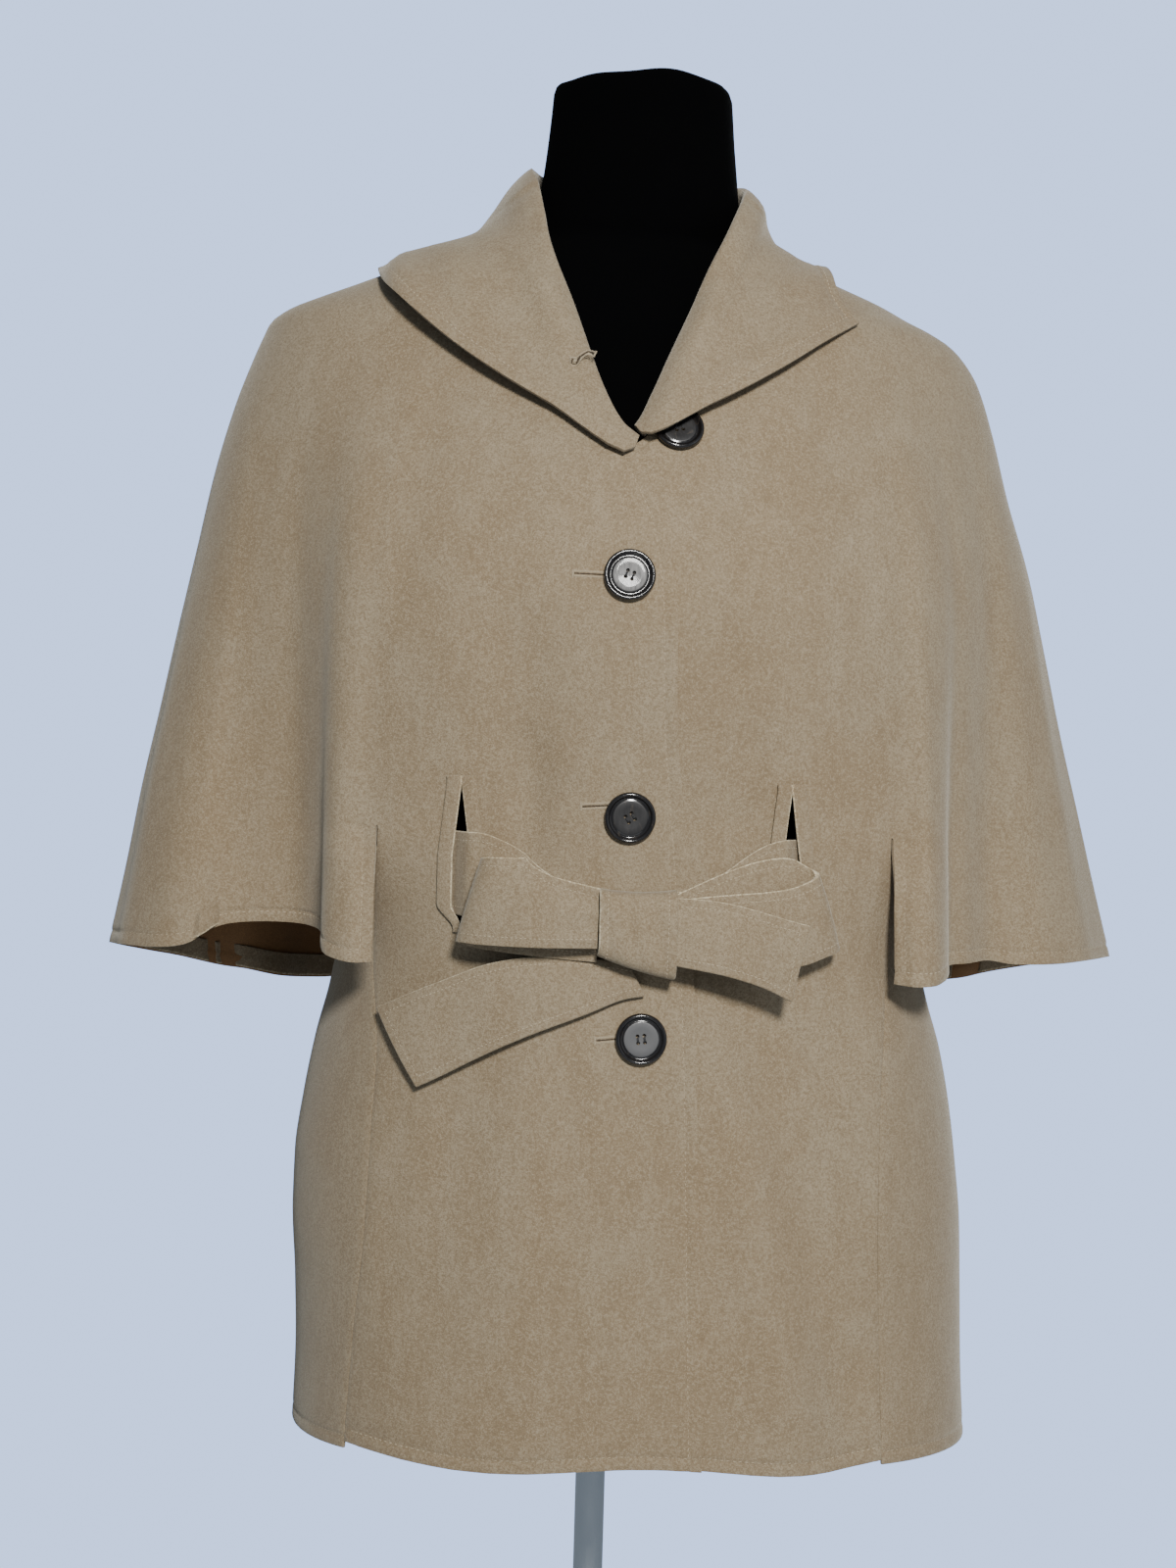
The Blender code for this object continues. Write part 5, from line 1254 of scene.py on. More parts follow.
def distance_to(points, path):
    """Distance of each point from a line of points."""
    a = path[:-1]
    d = path[1:] - a
    best = np.full(points.shape[:-1], 1e9)
    for start, way in zip(a, d):
        t = np.clip(((points - start) @ way) / max(way @ way, 1e-12), 0.0, 1.0)
        best = np.minimum(best, np.linalg.norm(points - start - t[..., None] * way, axis=-1))
    return best


def grid_normals(g):
    a = np.gradient(g, axis=0)
    b = np.gradient(g, axis=1)
    return unit(np.cross(a, b))


def row_beside(g, out, distance, at=ROW):
    """Where a grid's columns cross the line that lies a distance from one of its edges."""
    points = []
    outs = []
    for j in range(g.shape[1]):
        d = distance[:, j]
        k = int(np.argmax(d >= at))
        if k == 0:
            continue
        f = (at - d[k - 1]) / max(d[k] - d[k - 1], 1e-9)
        points.append(g[k - 1, j] * (1 - f) + g[k, j] * f)
        outs.append(unit(out[k - 1, j] * (1 - f) + out[k, j] * f))
    return np.array(points), np.array(outs)


def grid_piece(name, g, out, thickness, inner=0, marks=None, round_over=0.0006, closed=False):
    """Cloth piece from a rectangular grid of points and the way out at each of them, or one way for all.

    It is closed where its last column lies on its first.
    """
    bm, i, j, _ = lattice(g.shape[0] - 1, g.shape[1] - 1)
    turn_outwards(bm, g[i, j], np.broadcast_to(out, g.shape)[i, j])
    numbers(bm, "row", marks[i, j] if marks is not None else np.zeros(len(i)))
    if closed:
        bmesh.ops.remove_doubles(bm, verts=bm.verts, dist=1e-7)
    obj = finish_piece(name, bm, (SUEDE, REVERSE))
    return wall(obj, thickness, inner=inner, round_over=round_over)


def collar():
    """Stand, roll and fall in one piece; returns its grid of points and the way out at each."""
    g = collar_grid()
    out = grid_normals(g)
    right_end = distance_to(g, g[0, FALL:])
    left_end = distance_to(g, g[-1, FALL:])
    outer_edge = distance_to(g, g[:, -1])
    marks = np.maximum(sunk_row(right_end), sunk_row(left_end))
    marks = np.maximum(marks, sunk_row(outer_edge))
    marks = marks * smooth((np.minimum(right_end, left_end) - 0.0048) / 0.001)
    marks = marks * smooth((outer_edge - 0.0048) / 0.001)
    marks[:, :FALL] = 0.0
    g = g - out * (SINK * marks)[..., None]
    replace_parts(grid_piece("collar_cloth", g, out, CLOTH, marks=marks), "collar")
    face = g + out * CLOTH / 2
    inside = slice(FALL + 3, -3)
    runs = []
    for sheet, ways, distance in ((face, out, right_end), (face[::-1], out[::-1], left_end[::-1])):
        runs.append(row_beside(sheet[:60, inside], ways[:60, inside], distance[:60, inside]))
    row = -5
    ends = (right_end[:, row] > ROW) & (left_end[:, row] > ROW)
    runs.append((face[ends, row], out[ends, row]))
    stitches("stitches_collar", runs)
    return g, out


# ---------------------------------------------------------------- welts

WELT = 0.0014
TURN_UP = 0.0008


def front_offset(x, z, right, height):
    """A point over a front's face and the way out there."""
    n = trunk_normal(x, z)
    return front_point(x, z, right) + n * np.asarray(CLOTH / 2 + height)[..., None], n


def welt(right, outer):
    """Narrow strip along one edge of a belt slit, drawn in at both ends."""
    outwards = (-1.0 if right else 1.0) * (1.0 if outer else -1.0)
    z = np.linspace(SLIT_TOP + 0.004, SLIT_LOW - 0.004, 49)
    width = 0.0034 + 0.0044 * smooth((z - SLIT_LOW + 0.004) / 0.016)
    across = np.linspace(0.0, 1.0, 9)
    edge = slit_middle(z, right) + outwards * (slit_half(z) - 0.0010)
    x = edge[:, None] + outwards * width[:, None] * across[None, :]
    zz = np.broadcast_to(z[:, None], x.shape)
    crown = 0.0004 * np.sin(np.pi * across)[None, :]
    g, _ = front_offset(x, zz, right, 2 * SEAM + 0.0007 + crown)
    name = "welt_%s_%s" % ("right" if right else "left", "outer" if outer else "inner")
    obj = grid_piece(name + "_cloth", g, np.array([0.0, -1.0, 0.0]), WELT, inner=1, round_over=0.0005)
    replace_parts(obj, name)


# ---------------------------------------------------------------- buttons

BUTTON_R = 0.0137
BUTTON_T = 0.0040
BUTTONS = ((0.0262, 1.2275), (-0.0005, 1.1448), (0.0043, 1.0182), (0.0130, 0.9008))
BUTTON_SECTION = (
    (0.0, 0.0), (0.66, 0.0), (0.80, 0.04), (0.91, 0.14), (0.975, 0.32), (1.0, 0.54), (0.990, 0.76),
    (0.960, 0.92), (0.920, 0.995), (0.885, 0.985), (0.850, 0.90), (0.820, 0.74), (0.790, 0.60),
    (0.755, 0.54), (0.715, 0.56), (0.675, 0.63), (0.630, 0.655), (0.420, 0.63), (0.200, 0.60), (0.0, 0.59),
)
BUTTON_TILTS = (0.25, -0.35, 0.55, 0.12)
HOLE_R = 0.0010
HOLE_SPOT = 0.0018
HOLLOW = 0.66            # share of the radius that the sunk middle takes


def turned(section, steps=64):
    """A body spun round Z from its section."""
    bm = bmesh.new()
    row = [bm.verts.new((r, 0.0, h)) for r, h in section]
    edges = [bm.edges.new(pair) for pair in zip(row, row[1:])]
    bmesh.ops.spin(
        bm, geom=row + edges, cent=(0, 0, 0), axis=(0, 0, 1), angle=2 * math.pi, steps=steps, use_merge=True
    )
    bmesh.ops.remove_doubles(bm, verts=bm.verts, dist=1e-6)
    bmesh.ops.recalc_face_normals(bm, faces=bm.faces)
    return bm


def drilled(bm, spots, radius, depth, materials):
    """The body with round holes through it."""
    body_part = loose_object("button body", bm, materials)
    cutter = bmesh.new()
    for x, y in spots:
        place = Matrix.Translation((x, y, 0.0))
        bmesh.ops.create_cone(
            cutter, cap_ends=True, segments=20, radius1=radius, radius2=radius, depth=depth, matrix=place
        )
    tool = loose_object("button drill", cutter)
    cut = body_part.modifiers.new("holes", "BOOLEAN")
    cut.operation = "DIFFERENCE"
    cut.solver = "EXACT"
    cut.object = tool
    graph = bpy.context.evaluated_depsgraph_get()
    made = bmesh.new()
    made.from_mesh(body_part.evaluated_get(graph).to_mesh())
    for obj in (body_part, tool):
        mesh = obj.data
        bpy.data.objects.remove(obj)
        bpy.data.meshes.remove(mesh)
    return made


def button(number, x, z):
    right = number > 1
    # The lowest button's hollow has the grey ground of painted sheen
    centre = HORN_HOLLOW_PAINTED_SHEEN if number == 4 else HORN_DULL
    bm = turned([(r * BUTTON_R, h * BUTTON_T) for r, h in BUTTON_SECTION])
    for f in bm.faces:
        away = math.hypot(*f.calc_center_median()[:2]) / BUTTON_R
        f.material_index = 1 if away < HOLLOW and f.normal.z > 0.5 else 0
    spots = [(HOLE_SPOT * a, HOLE_SPOT * b) for a in (-1, 1) for b in (-1, 1)]
    bm = drilled(bm, spots, HOLE_R, 0.02, (HORN, centre))
    p, n = front_offset(np.array(x), np.array(z), right, SEAM)
    out = Vector(n)
    tilt = BUTTON_TILTS[number - 1]
    across = Vector((math.cos(tilt), 0.0, math.sin(tilt)))
    across = (across - out * across.dot(out)).normalized()
    up = out.cross(across)
    place = Matrix.Translation(Vector(p)) @ Matrix((across, up, out)).transposed().to_4x4()
    bmesh.ops.transform(bm, matrix=place, verts=bm.verts)
    obj = finish_piece("button_%d_horn" % number, bm, (HORN, centre))
    obj.data.set_sharp_from_angle(angle=math.radians(40))
    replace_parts(obj, "button_%d" % number)
    items = []
    for a in (-1, 1):
        for k in (-0.00028, 0.00028):
            middle = place @ Vector((HOLE_SPOT * a + k, 0.0, BUTTON_T * 0.66 + 0.00035))
            items.append((middle, up, out, HOLE_SPOT * 2 + 0.0011, 0.00062))
    grains("button_%d_thread" % number, items, DARK_THREAD)


# ---------------------------------------------------------------- buttonholes

SATIN = 0.00042
ON_FACE = 0.00005
# x and z of both ends of each buttonhole; then the keyhole's line, from its eye to the roll edge
BUTTONHOLES = (
    (-0.0290, -0.0090, 1.1452, 1.1446), (-0.0205, -0.0045, 1.0232, 1.0245),
    (-0.0102, 0.0060, 0.8995, 0.9012),
)
KEYHOLE = (
    (-0.0316, 1.2640), (-0.0318, 1.2620), (-0.0306, 1.2610), (-0.0292, 1.2622), (-0.0282, 1.2645),
    (-0.0262, 1.2664), (-0.0232, 1.2680), (-0.0205, 1.2672),
)


def worked_slot(name, path, out, reach=0.0016, gap=0.00045, step=0.00052):
    """Satin stitches round a slot, and dark grains in it as painted shade of the cut, along a line of points
    on the cloth's face.
    """
    length = lengths(path)
    n = int(length[-1] / step)
    s = length[-1] * np.arange(n + 1) / n
    middles = sampled(length, path, s)
    outs = unit(sampled(length, out, s))
    ways = unit(sampled(length, path, s + 0.0006) - sampled(length, path, s - 0.0006))
    sides = unit(np.cross(outs, ways))
    items = []
    for here, across, o in zip(middles, sides, outs):
        for way in (-1, 1):
            items.append((here + across * way * (gap + reach / 2), across, o, reach, SATIN))
    for end, way in ((0, -1), (-1, 1)):
        for k in range(-4, 5):
            middle = middles[end] + sides[end] * k * 0.00046 + ways[end] * way * 0.0009
            items.append((middle, ways[end], outs[end], 0.0016, SATIN))
    grains(name + "_satin", items, THREAD)
    # Dark grains along the slot: painted shade in the cut
    shares = (np.arange(7) + 0.5) / 7
    at = (n * shares).astype(int)
    dark = zip(sampled(length, path, length[-1] * shares), ways[at], outs[at])
    grains(name + "_slot", [(*place, length[-1] / 4.6, 0.00085) for place in dark], SLOT_PAINTED_SHADE)


def buttonholes():
    for number, (x1, x2, z1, z2) in enumerate(BUTTONHOLES, 2):
        p, n = front_offset(np.linspace(x1, x2, 12), np.linspace(z1, z2, 12), True, ON_FACE)
        worked_slot("buttonhole_%d" % number, p, n)


def keyhole(g, out):
    """Keyhole on the right revers, worked from its roll edge; each place lies level with the cloth's face."""
    right = slice(None, g.shape[0] // 2)
    face = (g + out * (CLOTH / 2 + ON_FACE))[right, FALL:].reshape(-1, 3)
    ways = out[right, FALL:].reshape(-1, 3)
    points = []
    outs = []
    for x, z in KEYHOLE:
        away = (face[:, 0] - x) ** 2 + (face[:, 2] - z) ** 2 + 0.02 * np.maximum(face[:, 1] + 0.055, 0.0) ** 2
        at = int(np.argmin(away))
        near = face[at]
        way = ways[at]
        drop = (way[0] * (x - near[0]) + way[2] * (z - near[2])) / min(way[1], -0.2)
        points.append((x, near[1] - drop, z))
        outs.append(way)
    t = np.minimum(np.linspace(0, len(points) - 1, 40), len(points) - 1.0001)
    path, ways = (through(np.array([table]), t)[0] for table in (points, outs))
    worked_slot("keyhole", path, ways, 0.0013, 0.0005)


# ---------------------------------------------------------------- belt

EDGE_MARKS = (0.0, 0.0010, 0.0022, 0.0034, BELT_ROW, 0.0058, 0.0075)
BELT_COLUMN = EDGE_MARKS.index(BELT_ROW)
BELT_ROUND = 0.0009
BELT_STITCH = 0.00050


def across_marks(width):
    """Distances from the upper edge over a strip's width."""
    inner = np.linspace(EDGE_MARKS[-1], width - EDGE_MARKS[-1], 10)[1:-1]
    return np.array(list(EDGE_MARKS) + list(inner) + [width - d for d in EDGE_MARKS[::-1]])


def belt_base(where, along, z):
    """Point and outward normal of the cloth that the belt follows."""
    if where == "front":
        return trunk(along, z), trunk_normal(along, z)
    if where == "back":
        return trunk(along, z, True), trunk_normal(along, z, True)
    right = where == "side right"
    p = side(z, along, right)
    around = side(z, along + 0.01, right) - side(z, along - 0.01, right)
    up = side(z + 0.002, along, right) - side(z - 0.002, along, right)
    n = unit(np.cross(around, up))
    return p, np.where(np.sum(n * from_axis(p), -1, keepdims=True) >= 0, n, -n)


def belt_rise(x):
    right = x < 0.01
    middle = float(slit_middle(BELT_Z, right))
    past = (x - middle) if right else (middle - x)
    return BELT_IN + (BELT_OUT - BELT_IN) * float(smooth((past + 0.0065) / 0.013))


def marked(marks, end_marks=None):
    """How far a strip's points lie on its stitch rows."""
    d = np.minimum(marks, marks.max(axis=1, keepdims=True) - marks)
    rows = sunk_row(d, BELT_ROW, 0.0010)
    if end_marks is None:
        return rows
    rows = rows * smooth((end_marks - 0.0035) / 0.0008)[:, None]
    ends = sunk_row(end_marks, BELT_ROW, 0.0010)[:, None] * smooth((d - 0.0035) / 0.0008)
    return np.maximum(rows, ends)


def belt_rows(face, out):
    """The stitch rows along both edges of a strip's face."""
    return [(face[:, column], out[:, column]) for column in (BELT_COLUMN, -1 - BELT_COLUMN)]


def strip(name, node, g, marks, turn, end_marks=None, both=False):
    """Two-layer belt strip with its stitch rows."""
    out = grid_normals(g) * turn
    rows = marked(marks, end_marks)
    obj = grid_piece(name, g, out, BELT_T, marks=rows, round_over=BELT_ROUND)
    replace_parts(obj, node)
    face = g + out * (BELT_T / 2)
    ends = len(g) if end_marks is None else int(np.argmax(end_marks < BELT_ROW + 1e-6)) + 1
    runs = belt_rows(face[:ends], out[:ends])
    if end_marks is not None:
        runs.append((face[ends - 1, BELT_COLUMN:-BELT_COLUMN], out[ends - 1, BELT_COLUMN:-BELT_COLUMN]))
    if both:
        runs += belt_rows(g - out * (BELT_T / 2), -out)
    stitches("stitches_" + node, runs, thick=BELT_STITCH, pitch=BELT_PITCH)


def belt_waist():
    right_slit = float(slit_middle(BELT_Z, True))
    left_slit = float(slit_middle(BELT_Z, False))
    places = [("front", x) for x in np.linspace(-0.0080, right_slit + 0.0085, 28)]
    places += [("front", x) for x in np.linspace(right_slit + 0.0075, right_slit - 0.0075, 13)]
    places += [("front", x) for x in np.linspace(right_slit - 0.0100, -0.1190, 9)]
    places += [("side right", t) for t in np.linspace(0.04, 0.95, 60)]
    places += [("back", x) for x in np.linspace(-0.1060, 0.1220, 64)]
    places += [("side left", t) for t in np.linspace(0.95, 0.04, 60)]
    places += [("front", x) for x in np.linspace(0.1390, left_slit + 0.0100, 14)]
    places += [("front", x) for x in np.linspace(left_slit + 0.0075, left_slit - 0.0075, 13)]
    places += [("front", x) for x in np.linspace(left_slit - 0.0085, 0.0221, 24)]
    rows = []
    table = []
    for where, along in places:
        # Towards the knot the belt drops and narrows
        towards = float(smooth((0.084 - abs(along - 0.007)) / 0.06)) if where == "front" else 0.0
        width = BELT_W - 0.010 * towards
        marks = across_marks(width)
        z = BELT_Z - 0.024 * towards + width / 2 - marks
        p, n = belt_base(where, np.full(len(z), float(along)), z)
        height = belt_rise(along) if where == "front" else BELT_SIDE_IN
        rows.append(p + n * height)
        table.append(marks)
    strip("belt_waist_strip", "belt_waist", np.array(rows), np.array(table), 1.0)


def bow_strip(node, stations, turn, step=0.0022, end=False, both=False, pinch=0.0):
    """Strip of the bow through its stations; an end has its last edge stitched, a loop both its sides."""
    table = np.array(stations, float)
    last = len(table) - 2
    places = np.linspace(0, last + 1, 40 * (last + 1) + 1)
    dense = np.array([spread(table, min(int(t), last), t - min(int(t), last)) for t in places])
    x, z, h = dense[:, :3].T
    length = lengths(trunk(x, z) + trunk_normal(x, z) * h[:, None])
    whole = length[-1]
    if end:
        at = np.linspace(0.0, whole - EDGE_MARKS[-1], int(whole / step))
        at = np.concatenate([at, [whole - d for d in EDGE_MARKS[:-1][::-1]]])
        ends = whole - at
    else:
        at = np.linspace(0.0, whole, int(whole / step))
        ends = None
    rows = []
    marks = []
    for s in at:
        x, z, h, lean, width = (float(np.interp(s, length, dense[:, c])) for c in range(5))
        a = math.radians(lean)
        m = across_marks(width)
        share = 0.5 - m / width
        px = x + math.sin(a) * width * share
        pz = z + math.cos(a) * width * share
        gathers = pinch * math.exp(-s / 0.016) * (np.sin(14.0 * share + 0.6) + 0.5 * np.sin(31.0 * share))
        rise = h - 0.0016 * (2 * np.abs(share)) ** 2 + gathers
        rows.append(trunk(px, pz) + trunk_normal(px, pz) * rise[:, None])
        marks.append(m)
    strip(node + "_strip", node, np.array(rows), np.array(marks), turn, ends, both)


KNOT_HALF = 0.0205
KNOT_AT = (0.0083, 0.9600, 0.0173)       # x, z and height over the front
KNOT_CORE = (0.0186, 0.0070, 0.0180)


def belt_knot():
    """The belt wrapped once round the pinched middle of the bow, over a small core."""
    x0, z0, h0 = KNOT_AT
    base = trunk(np.array(x0), np.array(z0)) + trunk_normal(np.array(x0), np.array(z0)) * h0
    centre = np.array([x0, base[1], z0])
    marks = across_marks(2 * KNOT_HALF)
    u = marks / KNOT_HALF - 1
    top = 0.9808 - 0.0016 * (1 - u * u)
    low = 0.9394 - 0.0060 * u - 0.0012 * (1 - u * u)
    rows = []
    for angle in np.linspace(0.0, 2 * math.pi, 73):
        s = math.sin(angle)
        c = math.cos(angle)
        z = (top + low) / 2 + ((top - low) / 2 - BELT_T / 2) * signed_power(s, 0.62)
        y = base[1] - 0.0088 * signed_power(c, 0.60) - 0.0006 * np.sin(9 * u + 2 * s) * max(c, 0.0)
        rows.append(np.stack([x0 + u * KNOT_HALF, y, z], -1))
    g = np.array(rows)
    g[-1] = g[0]
    out = grid_normals(g)
    out = out * np.sign(np.sum(out * (g - centre), -1, keepdims=True))
    wrap = grid_piece(
        "belt_knot_wrap", g, out, BELT_T, marks=marked(np.broadcast_to(marks, g.shape[:2])),
        round_over=BELT_ROUND, closed=True,
    )
    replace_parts(wrap, "belt_knot")
    runs = belt_rows(g + out * BELT_T / 2, out)
    stitches("stitches_belt_knot", runs, thick=BELT_STITCH, pitch=BELT_PITCH)
    bm = bmesh.new()
    bmesh.ops.create_uvsphere(bm, u_segments=40, v_segments=24, radius=1.0)
    for v in bm.verts:
        x, y, z = signed_power(np.array(v.co), 0.6) * KNOT_CORE
        v.co = (x0 + x, base[1] + y, z0 - 0.0010 + z - x * 0.1398)
    bmesh.ops.recalc_face_normals(bm, faces=bm.faces)
    numbers(bm, "row", [0.0] * len(bm.verts))
    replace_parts(finish_piece("belt_knot_core", bm, (SUEDE,)), "belt_knot")


# Stations along each strip of the bow: x, z, height over the front, lean in degrees, width
RIGHT_LOOP = (
    (-0.0115, 0.9640, 0.0220, 1, 0.0310), (-0.0400, 0.9672, 0.0264, 5, 0.0380),
    (-0.0620, 0.9716, 0.0255, 9, 0.0442), (-0.0710, 0.9728, 0.0228, 12, 0.0450),
    (-0.0745, 0.9722, 0.0185, 12, 0.0450), (-0.0710, 0.9705, 0.0142, 11, 0.0450),
    (-0.0620, 0.9680, 0.0120, 9, 0.0445), (-0.0400, 0.9620, 0.0112, 4, 0.0380),
    (-0.0115, 0.9560, 0.0115, 0, 0.0300),
)
LEFT_LOOP = (
    (0.0265, 0.9600, 0.0188, 0, 0.0280), (0.0560, 0.9598, 0.0205, -3, 0.0360),
    (0.0860, 0.9615, 0.0212, -9, 0.0400), (0.1010, 0.9662, 0.0200, -13, 0.0410),
    (0.1075, 0.9700, 0.0163, -16, 0.0420), (0.1020, 0.9735, 0.0126, -13, 0.0420),
    (0.0880, 0.9770, 0.0114, -8, 0.0420), (0.0560, 0.9708, 0.0112, 1, 0.0380),
    (0.0265, 0.9620, 0.0112, 0, 0.0280),
)
LEFT_END = (
    (0.0243, 0.9580, 0.0256, -1, 0.0350), (0.0460, 0.9548, 0.0272, 2, 0.0385),
    (0.0660, 0.9498, 0.0280, 7, 0.0405), (0.0900, 0.9432, 0.0272, 12, 0.0410),
)
RIGHT_END = (
    (0.0100, 0.9318, 0.0068, -27, 0.0190), (-0.0040, 0.9315, 0.0080, -28, 0.0240),
    (-0.0235, 0.9285, 0.0095, -27, 0.0340), (-0.0551, 0.9197, 0.0103, -27, 0.0425),
    (-0.0853, 0.9048, 0.0100, -27, 0.0445), (-0.1121, 0.8902, 0.0090, -27, 0.0445),
)


def bow():
    bow_strip("belt_loop_right", RIGHT_LOOP, 1.0, both=True, pinch=0.0005)
    bow_strip("belt_loop_left", LEFT_LOOP, -1.0, both=True, pinch=0.0005)
    bow_strip("belt_end_left", LEFT_END, -1.0, end=True, pinch=0.0003)
    bow_strip("belt_end_right", RIGHT_END, 1.0, end=True)


# ---------------------------------------------------------------- hem turn-ups inside the capes


def cape_turn_up(right, back=False):
    """Band of the cloth's own suede side, turned up inside a cape's hem."""
    q = np.linspace(0.035, 0.985, 60)
    up = np.array([0.0012, 0.0030, 0.0060, 0.0090, 0.0115, 0.0135, 0.0146])
    qq, dd = np.meshgrid(q, up, indexing="ij")
    z = hem_height(qq, right, back) + dd
    p = cape(z, qq, right, back)
    n = unit(np.cross(cape(z, qq + 0.004, right, back) - cape(z, qq - 0.004, right, back),
                      cape(z + 0.001, qq, right, back) - cape(z - 0.001, qq, right, back)))
    n = n * np.sign(np.sum(n * from_axis(p), -1, keepdims=True))
    folds = cape_folds(qq, z, right, back) + SINK * sunk_row(dd)
    g = p - n * (CLOTH / 2 + SEAM + TURN_UP / 2 + folds)[..., None]
    name = "turn_up_%s_%s" % ("right" if right else "left", "back" if back else "front")
    grid_piece(name, g, -from_axis(g), TURN_UP, round_over=0.0002)


# ---------------------------------------------------------------- dress form

# Height, x right, x left, front depth, back depth
FORM = (
    (1.4480, -0.0395, 0.0650, 0.0450, 0.0500), (1.4150, -0.0425, 0.0675, 0.0455, 0.0500),
    (1.3900, -0.0455, 0.0700, 0.0465, 0.0505), (1.3700, -0.0500, 0.0715, 0.0480, 0.0510),
    (1.3580, -0.0560, 0.0705, 0.0490, 0.0515), (1.3500, -0.0630, 0.0720, 0.0480, 0.0520),
    (1.3420, -0.0870, 0.0950, 0.0530, 0.0600), (1.3352, -0.1110, 0.1170, 0.0585, 0.0670),
    (1.3267, -0.1370, 0.1400, 0.0640, 0.0735), (1.3187, -0.1570, 0.1590, 0.0690, 0.0775),
    (1.3100, -0.1720, 0.1740, 0.0740, 0.0810), (1.3020, -0.1800, 0.1830, 0.0785, 0.0840),
    (1.2900, -0.1850, 0.1890, 0.0860, 0.0880), (1.2700, -0.1860, 0.1910, 0.0970, 0.0930),
    (1.2400, -0.1800, 0.1870, 0.1120, 0.0965), (1.2000, -0.1680, 0.1770, 0.1290, 0.0980),
    (1.1500, -0.1550, 0.1660, 0.1410, 0.0950), (1.1000, -0.1400, 0.1520, 0.1370, 0.0870),
    (1.0500, -0.1250, 0.1390, 0.1180, 0.0770), (1.0000, -0.1160, 0.1310, 0.1050, 0.0720),
    (0.9500, -0.1200, 0.1370, 0.1100, 0.0790), (0.9000, -0.1340, 0.1530, 0.1220, 0.0920),
    (0.8500, -0.1460, 0.1670, 0.1280, 0.1010), (0.8000, -0.1520, 0.1740, 0.1270, 0.1050),
    (0.7500, -0.1520, 0.1750, 0.1220, 0.1040), (0.7300, -0.1500, 0.1730, 0.1190, 0.1010),
)
FORM_POINT = (
    (1.45, 1.00), (1.36, 1.00), (1.35, 1.10), (1.30, 1.15), (1.25, 1.00), (1.15, 0.85), (0.70, 0.85),
)
FORM_SIDES = 96
FORM_LOW = 0.7300


def form_point(z, a):
    mid = (curve(FORM, z, 1) + curve(FORM, z, 2)) / 2
    s = np.sin(a)
    c = np.cos(a)
    w = np.where(s < 0, mid - curve(FORM, z, 1), curve(FORM, z, 2) - mid)
    d = np.where(c > 0, curve(FORM, z, 3), curve(FORM, z, 4))
    return np.stack([mid + w * s, -d * signed_power(c, curve(FORM_POINT, z)), z], -1)


def closed_tube(rings):
    """A closed body from rings of points, its ends filled."""
    rows = len(rings) - 1
    sides = len(rings[0])
    bm = bmesh.new()
    bmesh.ops.create_grid(bm, x_segments=sides, y_segments=rows, size=0.5)
    table = np.array(rings)
    for v in bm.verts:
        i = round((v.co.x + 0.5) * sides)
        j = round((0.5 - v.co.y) * rows)
        v.co = table[j, i % sides]
    bmesh.ops.remove_doubles(bm, verts=bm.verts, dist=1e-7)
    ends = bmesh.ops.holes_fill(bm, edges=[e for e in bm.edges if e.is_boundary], sides=0)["faces"]
    bmesh.ops.recalc_face_normals(bm, faces=bm.faces)
    for f in ends:
        bmesh.ops.poke(bm, faces=[f])
    return bm


# Rings that round over the form's ends: scale, height, and the level whose outline they take
NECK_RINGS = ((0.80, 1.4462, 1.448), (0.90, 1.4460, 1.448), (0.955, 1.4452, 1.446), (0.985, 1.4436, 1.445))
LOW_RINGS = (
    (0.995, 0.7365, 0.740), (0.985, 0.7335, 0.740), (0.967, 0.7312, 0.740), (0.94, FORM_LOW + 0.0002, 0.740),
)


def form_ring(scale, z, level):
    a = np.linspace(0.0, 2 * math.pi, FORM_SIDES, endpoint=False)
    p = form_point(np.full(FORM_SIDES, level), a)
    mid = np.array([(curve(FORM, level, 1) + curve(FORM, level, 2)) / 2, 0.0, level])
    q = mid + (p - mid) * scale
    # The cloth cap of the neck is a little lumpy
    lumps = 0.0012 * np.sin(3 * a + 0.6) + 0.0006 * np.sin(7 * a)
    q[:, 2] = z + smooth((z - 1.425) / 0.02) * lumps
    return q


def dress_form():
    levels = [1.4400, 1.4340] + list(np.linspace(1.4280, 1.3660, 14)) + list(np.linspace(1.3620, 1.2860, 30))
    levels += list(np.linspace(1.2780, 0.7480, 70)) + [0.7430, 0.7400]
    rings = [*NECK_RINGS, *((1.0, z, z) for z in levels), *LOW_RINGS]
    bm = closed_tube([form_ring(*ring) for ring in rings])
    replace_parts(finish_piece("dress_form_cover", bm, (VELVET,)), "dress_form")


def stand():
    for name in ("pole", "pole_socket", "base_plate"):
        node = bpy.data.objects[name]
        node.data.materials.clear()
        node.data.materials.append(CHROME)


# ---------------------------------------------------------------- camera, light, floor

DISTANCE = 1.34
EYE_Z = 1.035
TURN = math.radians(4.0)
ROLL = math.radians(1.6)
# In pixels of the full frame
WIDTH = 1200
HEIGHT = 1600
FOCAL = 2311.0
CENTRE_X = 615.0
SENSOR = 36.0           # millimetres across


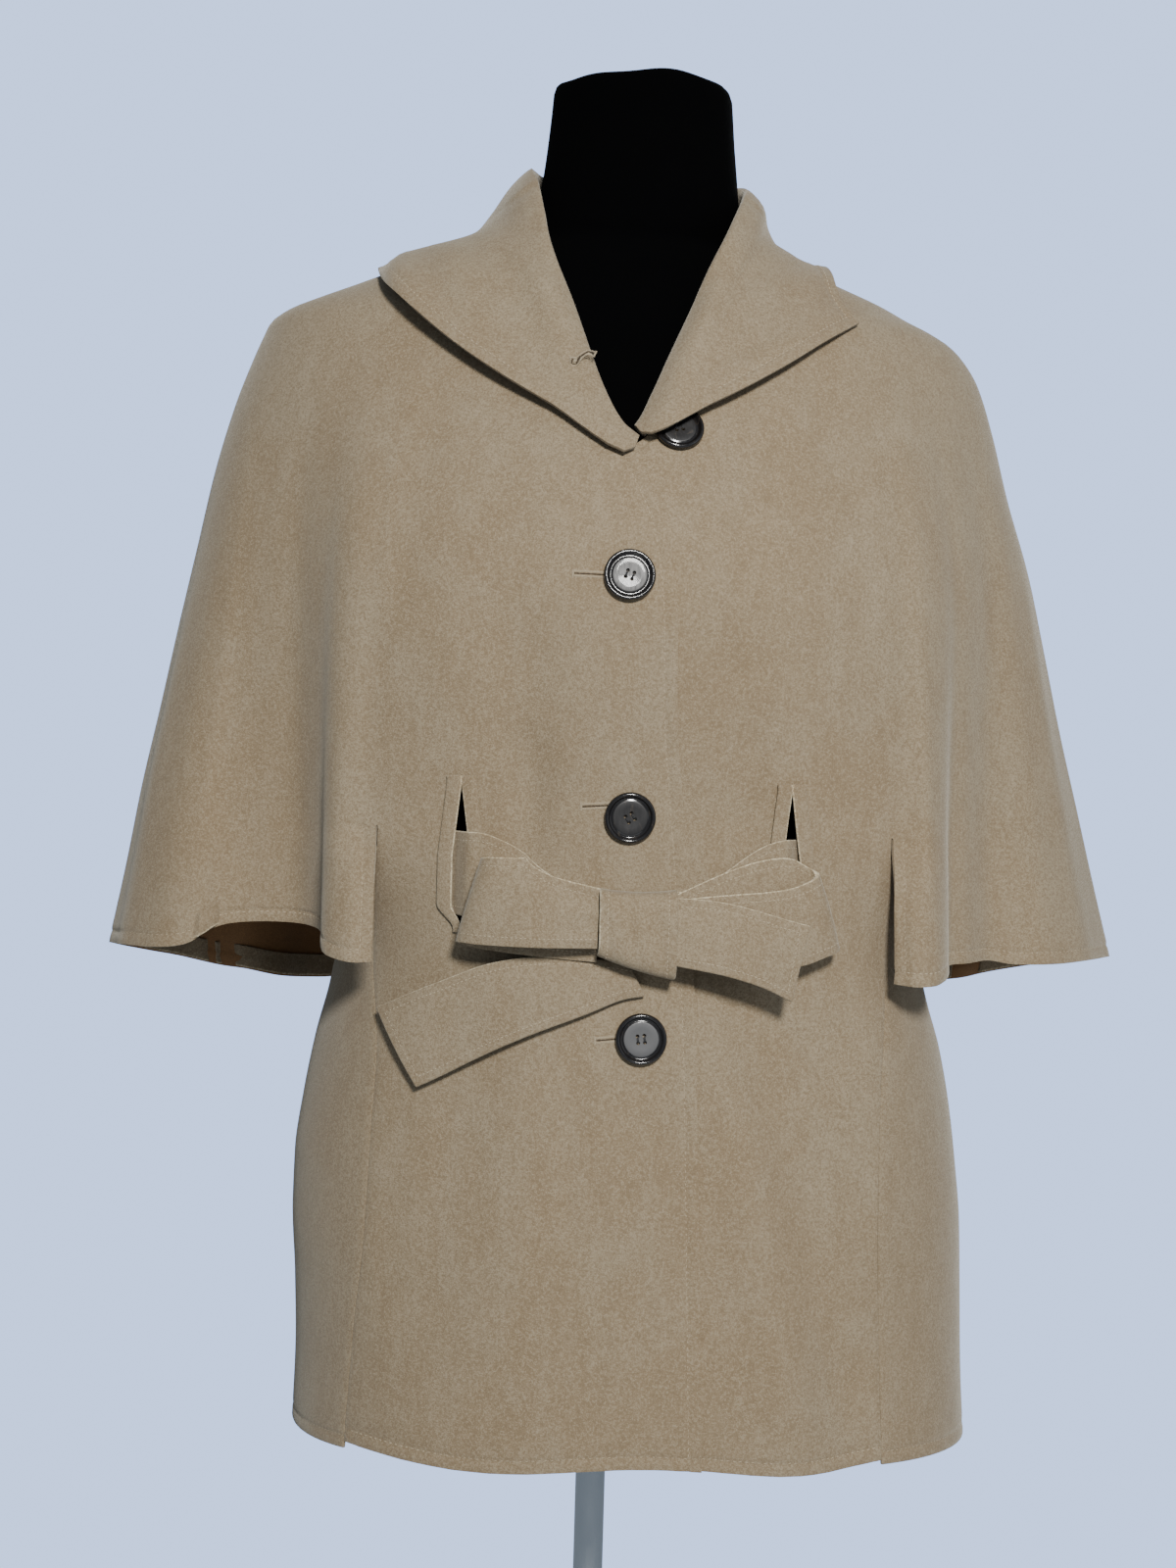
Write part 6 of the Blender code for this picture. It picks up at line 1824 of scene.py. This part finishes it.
def camera():
    data = bpy.data.cameras.new("camera")
    data.sensor_fit = "VERTICAL"
    data.sensor_height = SENSOR * HEIGHT / WIDTH
    data.lens = FOCAL / WIDTH * SENSOR
    data.clip_start = 0.05
    eye = linked("camera", data)
    right = Vector((math.cos(TURN), -math.sin(TURN), 0.0))
    up = Vector((0.0, 0.0, 1.0))
    ahead = Vector((math.sin(TURN), math.cos(TURN), 0.0))
    spot = ahead * -DISTANCE + up * EYE_Z - right * ((CENTRE_X - WIDTH / 2) / FOCAL * DISTANCE)
    across = right * math.cos(ROLL) + up * math.sin(ROLL)
    above = up * math.cos(ROLL) - right * math.sin(ROLL)
    turn = Matrix((across, above, -ahead)).transposed().to_4x4()
    eye.matrix_world = Matrix.Translation(spot) @ turn
    bpy.context.scene.camera = eye


def soft_box(name, spot, target, size, power, color):
    data = bpy.data.lights.new(name, "AREA")
    data.shape = "RECTANGLE"
    data.size = size[0]
    data.size_y = size[1]
    data.energy = power
    data.color = color
    lamp = linked(name, data)
    way = Vector(target) - Vector(spot)
    lamp.matrix_world = Matrix.Translation(spot) @ way.to_track_quat("-Z", "Y").to_matrix().to_4x4()


def studio():
    world = bpy.data.worlds.new("studio")
    bpy.context.scene.world = world
    world.use_nodes = True
    nodes = world.node_tree.nodes
    links = world.node_tree.links
    seen = nodes["Background"]
    seen.inputs["Color"].default_value = tone(0.900, 1.200, 1.900)
    seen.inputs["Strength"].default_value = 1.0
    felt = nodes.new("ShaderNodeBackground")
    felt.inputs["Color"].default_value = tone(0.74, 0.86, 1.0)
    felt.inputs["Strength"].default_value = 0.30
    path = nodes.new("ShaderNodeLightPath")
    both = nodes.new("ShaderNodeMixShader")
    links.new(path.outputs["Is Camera Ray"], both.inputs[0])
    links.new(felt.outputs[0], both.inputs[1])
    links.new(seen.outputs[0], both.inputs[2])
    links.new(both.outputs[0], nodes["World Output"].inputs["Surface"])
    soft_box("key light", (0.20, -2.25, 1.95), (0.02, 0.0, 1.05), (0.34, 0.34), 82.0, (1.0, 0.985, 0.95))
    soft_box("fill light", (1.7, -1.3, 1.3), (0.0, 0.0, 1.0), (1.4, 1.6), 5.0, (0.92, 0.96, 1.0))
    soft_box("back light", (0.8, 1.9, 2.4), (0.0, 0.0, 1.1), (1.4, 1.4), 18.0, (0.95, 0.98, 1.0))


FLOOR_PALE = (0.62, 0.66, 0.70)
FLOOR_DEEP = (0.58, 0.62, 0.67)


def floor():
    bm = bmesh.new()
    bmesh.ops.create_circle(bm, cap_ends=True, segments=128, radius=1.5)
    p = Paint("studio floor", FLOOR_PALE, 0.7)
    cloud = p.noise(2.0, 2.0, 0.5)
    p.color(p.mix(cloud * 0.3, tone(*FLOOR_PALE), tone(*FLOOR_DEEP)))
    loose_object("studio_floor", bm, (p.material,))


# ---------------------------------------------------------------- the whole

camera()
studio()
floor()
dress_form()
stand()
for right in (True, False):
    front_stitches(right, front(right))
    side_panel(right)
    for outer in (True, False):
        welt(right, outer)
    for rear in (False, True):
        cape_turn_up(right, rear)
back()
keyhole(*collar())
buttonholes()
for number, (x, z) in enumerate(BUTTONS, 1):
    button(number, x, z)
belt_waist()
belt_knot()
bow()
